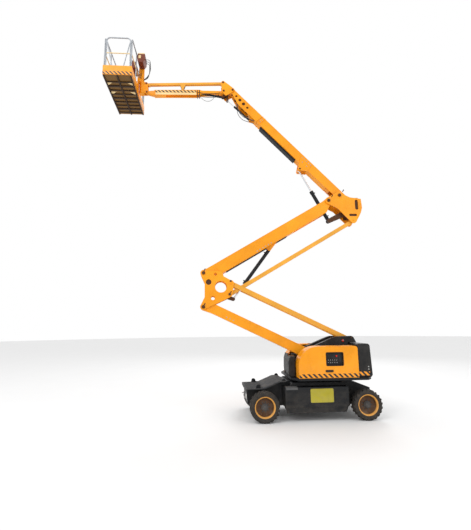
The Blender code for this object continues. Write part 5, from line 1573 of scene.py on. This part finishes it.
class LIFT_OT_hoses(bpy.types.Operator):
    """Hydraulic hoses and cables along the booms"""

    bl_idname = "lift.hoses"
    bl_label = "Hoses"

    def execute(self, context):
        radius = fittings().hose
        black, grey = FINISHES["hose"], FINISHES["grey_hose"]
        for i, y in enumerate((-0.055, -0.030, 0.030, 0.055)):
            run = [UPPER_RISER.at(s, y, -0.268) for s in (0.55, 0.9, 1.3, 1.7, 2.1, 2.5)]
            hose(f"riser_hose_{i}", run, radius, black, "upper_riser")
        for i, y in enumerate((-0.05, -0.02, 0.02, 0.05)):
            run = [BOOM.at(s, y, -0.100) for s in (1.66, 2.0, 2.4, 2.8, 3.0)]
            hose(f"tray_hose_{i}", run, radius * 0.9, black, "main_boom")
        # Loops at the boom's head, hanging below the inner boom's nose.
        for i, y in enumerate((-0.080, -0.060, 0.060)):
            dip = 0.06 + 0.02 * i
            run = [
                BOOM.at(s, y, h) for s, h in (
                    (3.28, -0.092), (3.42, -0.120 - dip * 0.5), (3.62, -0.150 - dip),
                    (3.82, -0.145 - dip * 0.7), (3.98, -0.100), (4.06, -0.070),
                )
            ]
            hose(f"head_hose_{i}", run, radius * 0.8, grey if i == 0 else black, "boom_extension")
        # From the knuckle along the jib's lower arm.
        for i, y in enumerate((-0.089, 0.089)):
            places = ((0.10, -0.03), (0.3, -0.055), (0.55, -0.05), (0.75, -0.02))
            run = [JIB_LOWER.at(s, y, h) for s, h in places]
            hose(f"jib_hose_{i}", run, radius * 0.8, black, "jib_lower_arm")
        run = [
            JIB_LOWER.at(*place) for place in (
                (0.74, -0.084, -0.09), (0.66, -0.088, -0.20), (0.52, -0.088, -0.30),
                (0.36, -0.088, -0.27), (0.26, -0.088, -0.12), (0.22, -0.086, -0.04),
            )
        ]
        hose("jib_hose_loop", run, radius * 0.6, grey, "jib_lower_arm")
        # Cables looping from the valve box down to the platform's support.
        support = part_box("platform_support")[1].x
        for i in range(3):
            y = -0.12 - i * 0.08
            start, wide = -2.556, 0.075 + 0.025 * i
            run = [
                (start, y, 9.824), (start + wide * 0.8, y, 9.80), (start + wide, y * 0.9, 9.68),
                (start + wide * 0.9, y * 0.7, 9.52), (start + wide * 0.3, y * 0.5, 9.40),
                (support - 0.03, -0.03 - i * 0.012, 9.345),
            ]
            hose(f"valve_cable_{i}", run, radius * 0.75, black if i else grey, "platform")
        run = [
            (-2.80, -0.10, 9.60), (-2.77, -0.11, 9.50), (-2.75, -0.09, 9.38), (-2.74, -0.06, 9.46),
            (-2.73, -0.03, 9.58),
        ]
        hose("console_cable", run, radius * 0.7, grey, "platform")
        return {"FINISHED"}


# ---- Stage ------------------------------------------------------------------------------

def area_light(name, position, target, size, power):
    """A square area light aimed at a point."""
    light = bpy.data.lights.new(name, "AREA")
    light.size = size
    light.energy = power
    item = bpy.data.objects.new(name, light)
    item.location = position
    item.rotation_euler = (Vector(target) - Vector(position)).to_track_quat("-Z", "Y").to_euler()
    bpy.context.scene.collection.objects.link(item)


def make_camera():
    """The viewpoint: low beside the machine, looking slightly up."""
    yaw, pitch, roll = math.radians(3.96), math.radians(9.77), math.radians(-0.63)
    forward = Vector((math.sin(yaw) * math.cos(pitch), math.cos(yaw) * math.cos(pitch), math.sin(pitch)))
    level_right = Vector((math.cos(yaw), -math.sin(yaw), 0))
    level_up = level_right.cross(forward)
    right = level_right * math.cos(roll) + level_up * math.sin(roll)
    up = level_up * math.cos(roll) - level_right * math.sin(roll)
    camera = bpy.data.cameras.new("camera")
    camera.sensor_width = 36
    camera.lens = 24.2
    camera.clip_end = 300
    item = bpy.data.objects.new("camera", camera)
    turn = Matrix((right, up, -forward)).transposed().to_4x4()
    item.matrix_world = Matrix.Translation((SLEW_X - 2.491, -9.537, 2.230)) @ turn
    bpy.context.scene.collection.objects.link(item)
    bpy.context.scene.camera = item


FLOOR_RADIUS = 70  # metres: far past anything in view
LIGHTS = (
    # name, place, aimed at, size, power in watts
    ("key", (-9, -11, 15), (0, 0, 4), 7, 900),
    ("fill", (10, -10, 7), (0, 0, 4), 9, 260),
    ("rim", (6, 12, 12), (0, 0, 5), 7, 600),
)


class LIFT_OT_stage(bpy.types.Operator):
    """Pale floor, soft studio light and the camera"""

    bl_idname = "lift.stage"
    bl_label = "Stage"

    def execute(self, context):
        bm = bmesh.new()
        bmesh.ops.create_circle(bm, cap_ends=True, segments=96, radius=FLOOR_RADIUS)
        mesh = bpy.data.meshes.new("floor")
        bm.to_mesh(mesh)
        bm.free()
        floor = bpy.data.objects.new("floor", mesh)
        bpy.context.scene.collection.objects.link(floor)
        make = Nodes("floor_paint", (0.80, 0.80, 0.80), 0.85)
        make.set("Base Color", make.mixed(make.noise(0.8, 3), (0.79, 0.79, 0.79), (0.82, 0.82, 0.82)))
        mesh.materials.append(make.material)
        world = bpy.data.worlds.new("studio")
        world.use_nodes = True
        background = world.node_tree.nodes["Background"]
        background.inputs["Color"].default_value = (1.0, 1.0, 1.0, 1)
        background.inputs["Strength"].default_value = 1.0
        bpy.context.scene.world = world
        for light in LIGHTS:
            area_light(*light)
        make_camera()
        context.scene.view_settings.view_transform = "Standard"
        return {"FINISHED"}


class LIFT_OT_finishes(bpy.types.Operator):
    """The paints, metals, rubber and mouldings"""

    bl_idname = "lift.finishes"
    bl_label = "Finishes"

    def execute(self, context):
        make_finishes()
        return {"FINISHED"}


STEPS = (
    LIFT_OT_finishes,
    LIFT_OT_stage,
    LIFT_OT_wheels,
    LIFT_OT_chassis,
    LIFT_OT_turntable,
    LIFT_OT_risers,
    LIFT_OT_cylinders,
    LIFT_OT_boom,
    LIFT_OT_platform,
    LIFT_OT_hoses,
)


class LIFT_PT_panel(bpy.types.Panel):
    """Sizes, colours and steps of the boom lift"""

    bl_idname = "LIFT_PT_panel"
    bl_label = "Boom lift"
    bl_space_type = "VIEW_3D"
    bl_region_type = "UI"
    bl_category = "Boom lift"

    def draw(self, context):
        for settings in (context.scene.lift_paint, context.scene.lift_fittings):
            for name in settings.bl_rna.properties.keys():
                if name not in ("rna_type", "name"):
                    self.layout.prop(settings, name)
        for step in STEPS:
            self.layout.operator(step.bl_idname)


CLASSES = (LiftPaintSettings, LiftFittingSettings, *STEPS, LIFT_PT_panel)


def register():
    for each in CLASSES:
        bpy.utils.register_class(each)
    bpy.types.Scene.lift_paint = bpy.props.PointerProperty(type=LiftPaintSettings)
    bpy.types.Scene.lift_fittings = bpy.props.PointerProperty(type=LiftFittingSettings)


def unregister():
    del bpy.types.Scene.lift_fittings
    del bpy.types.Scene.lift_paint
    for each in reversed(CLASSES):
        bpy.utils.unregister_class(each)


def main():
    register()
    for step in STEPS:
        group, name = step.bl_idname.split(".")
        getattr(getattr(bpy.ops, group), name)()
    bpy.context.view_layer.update()


if __name__ == "__main__":
    main()
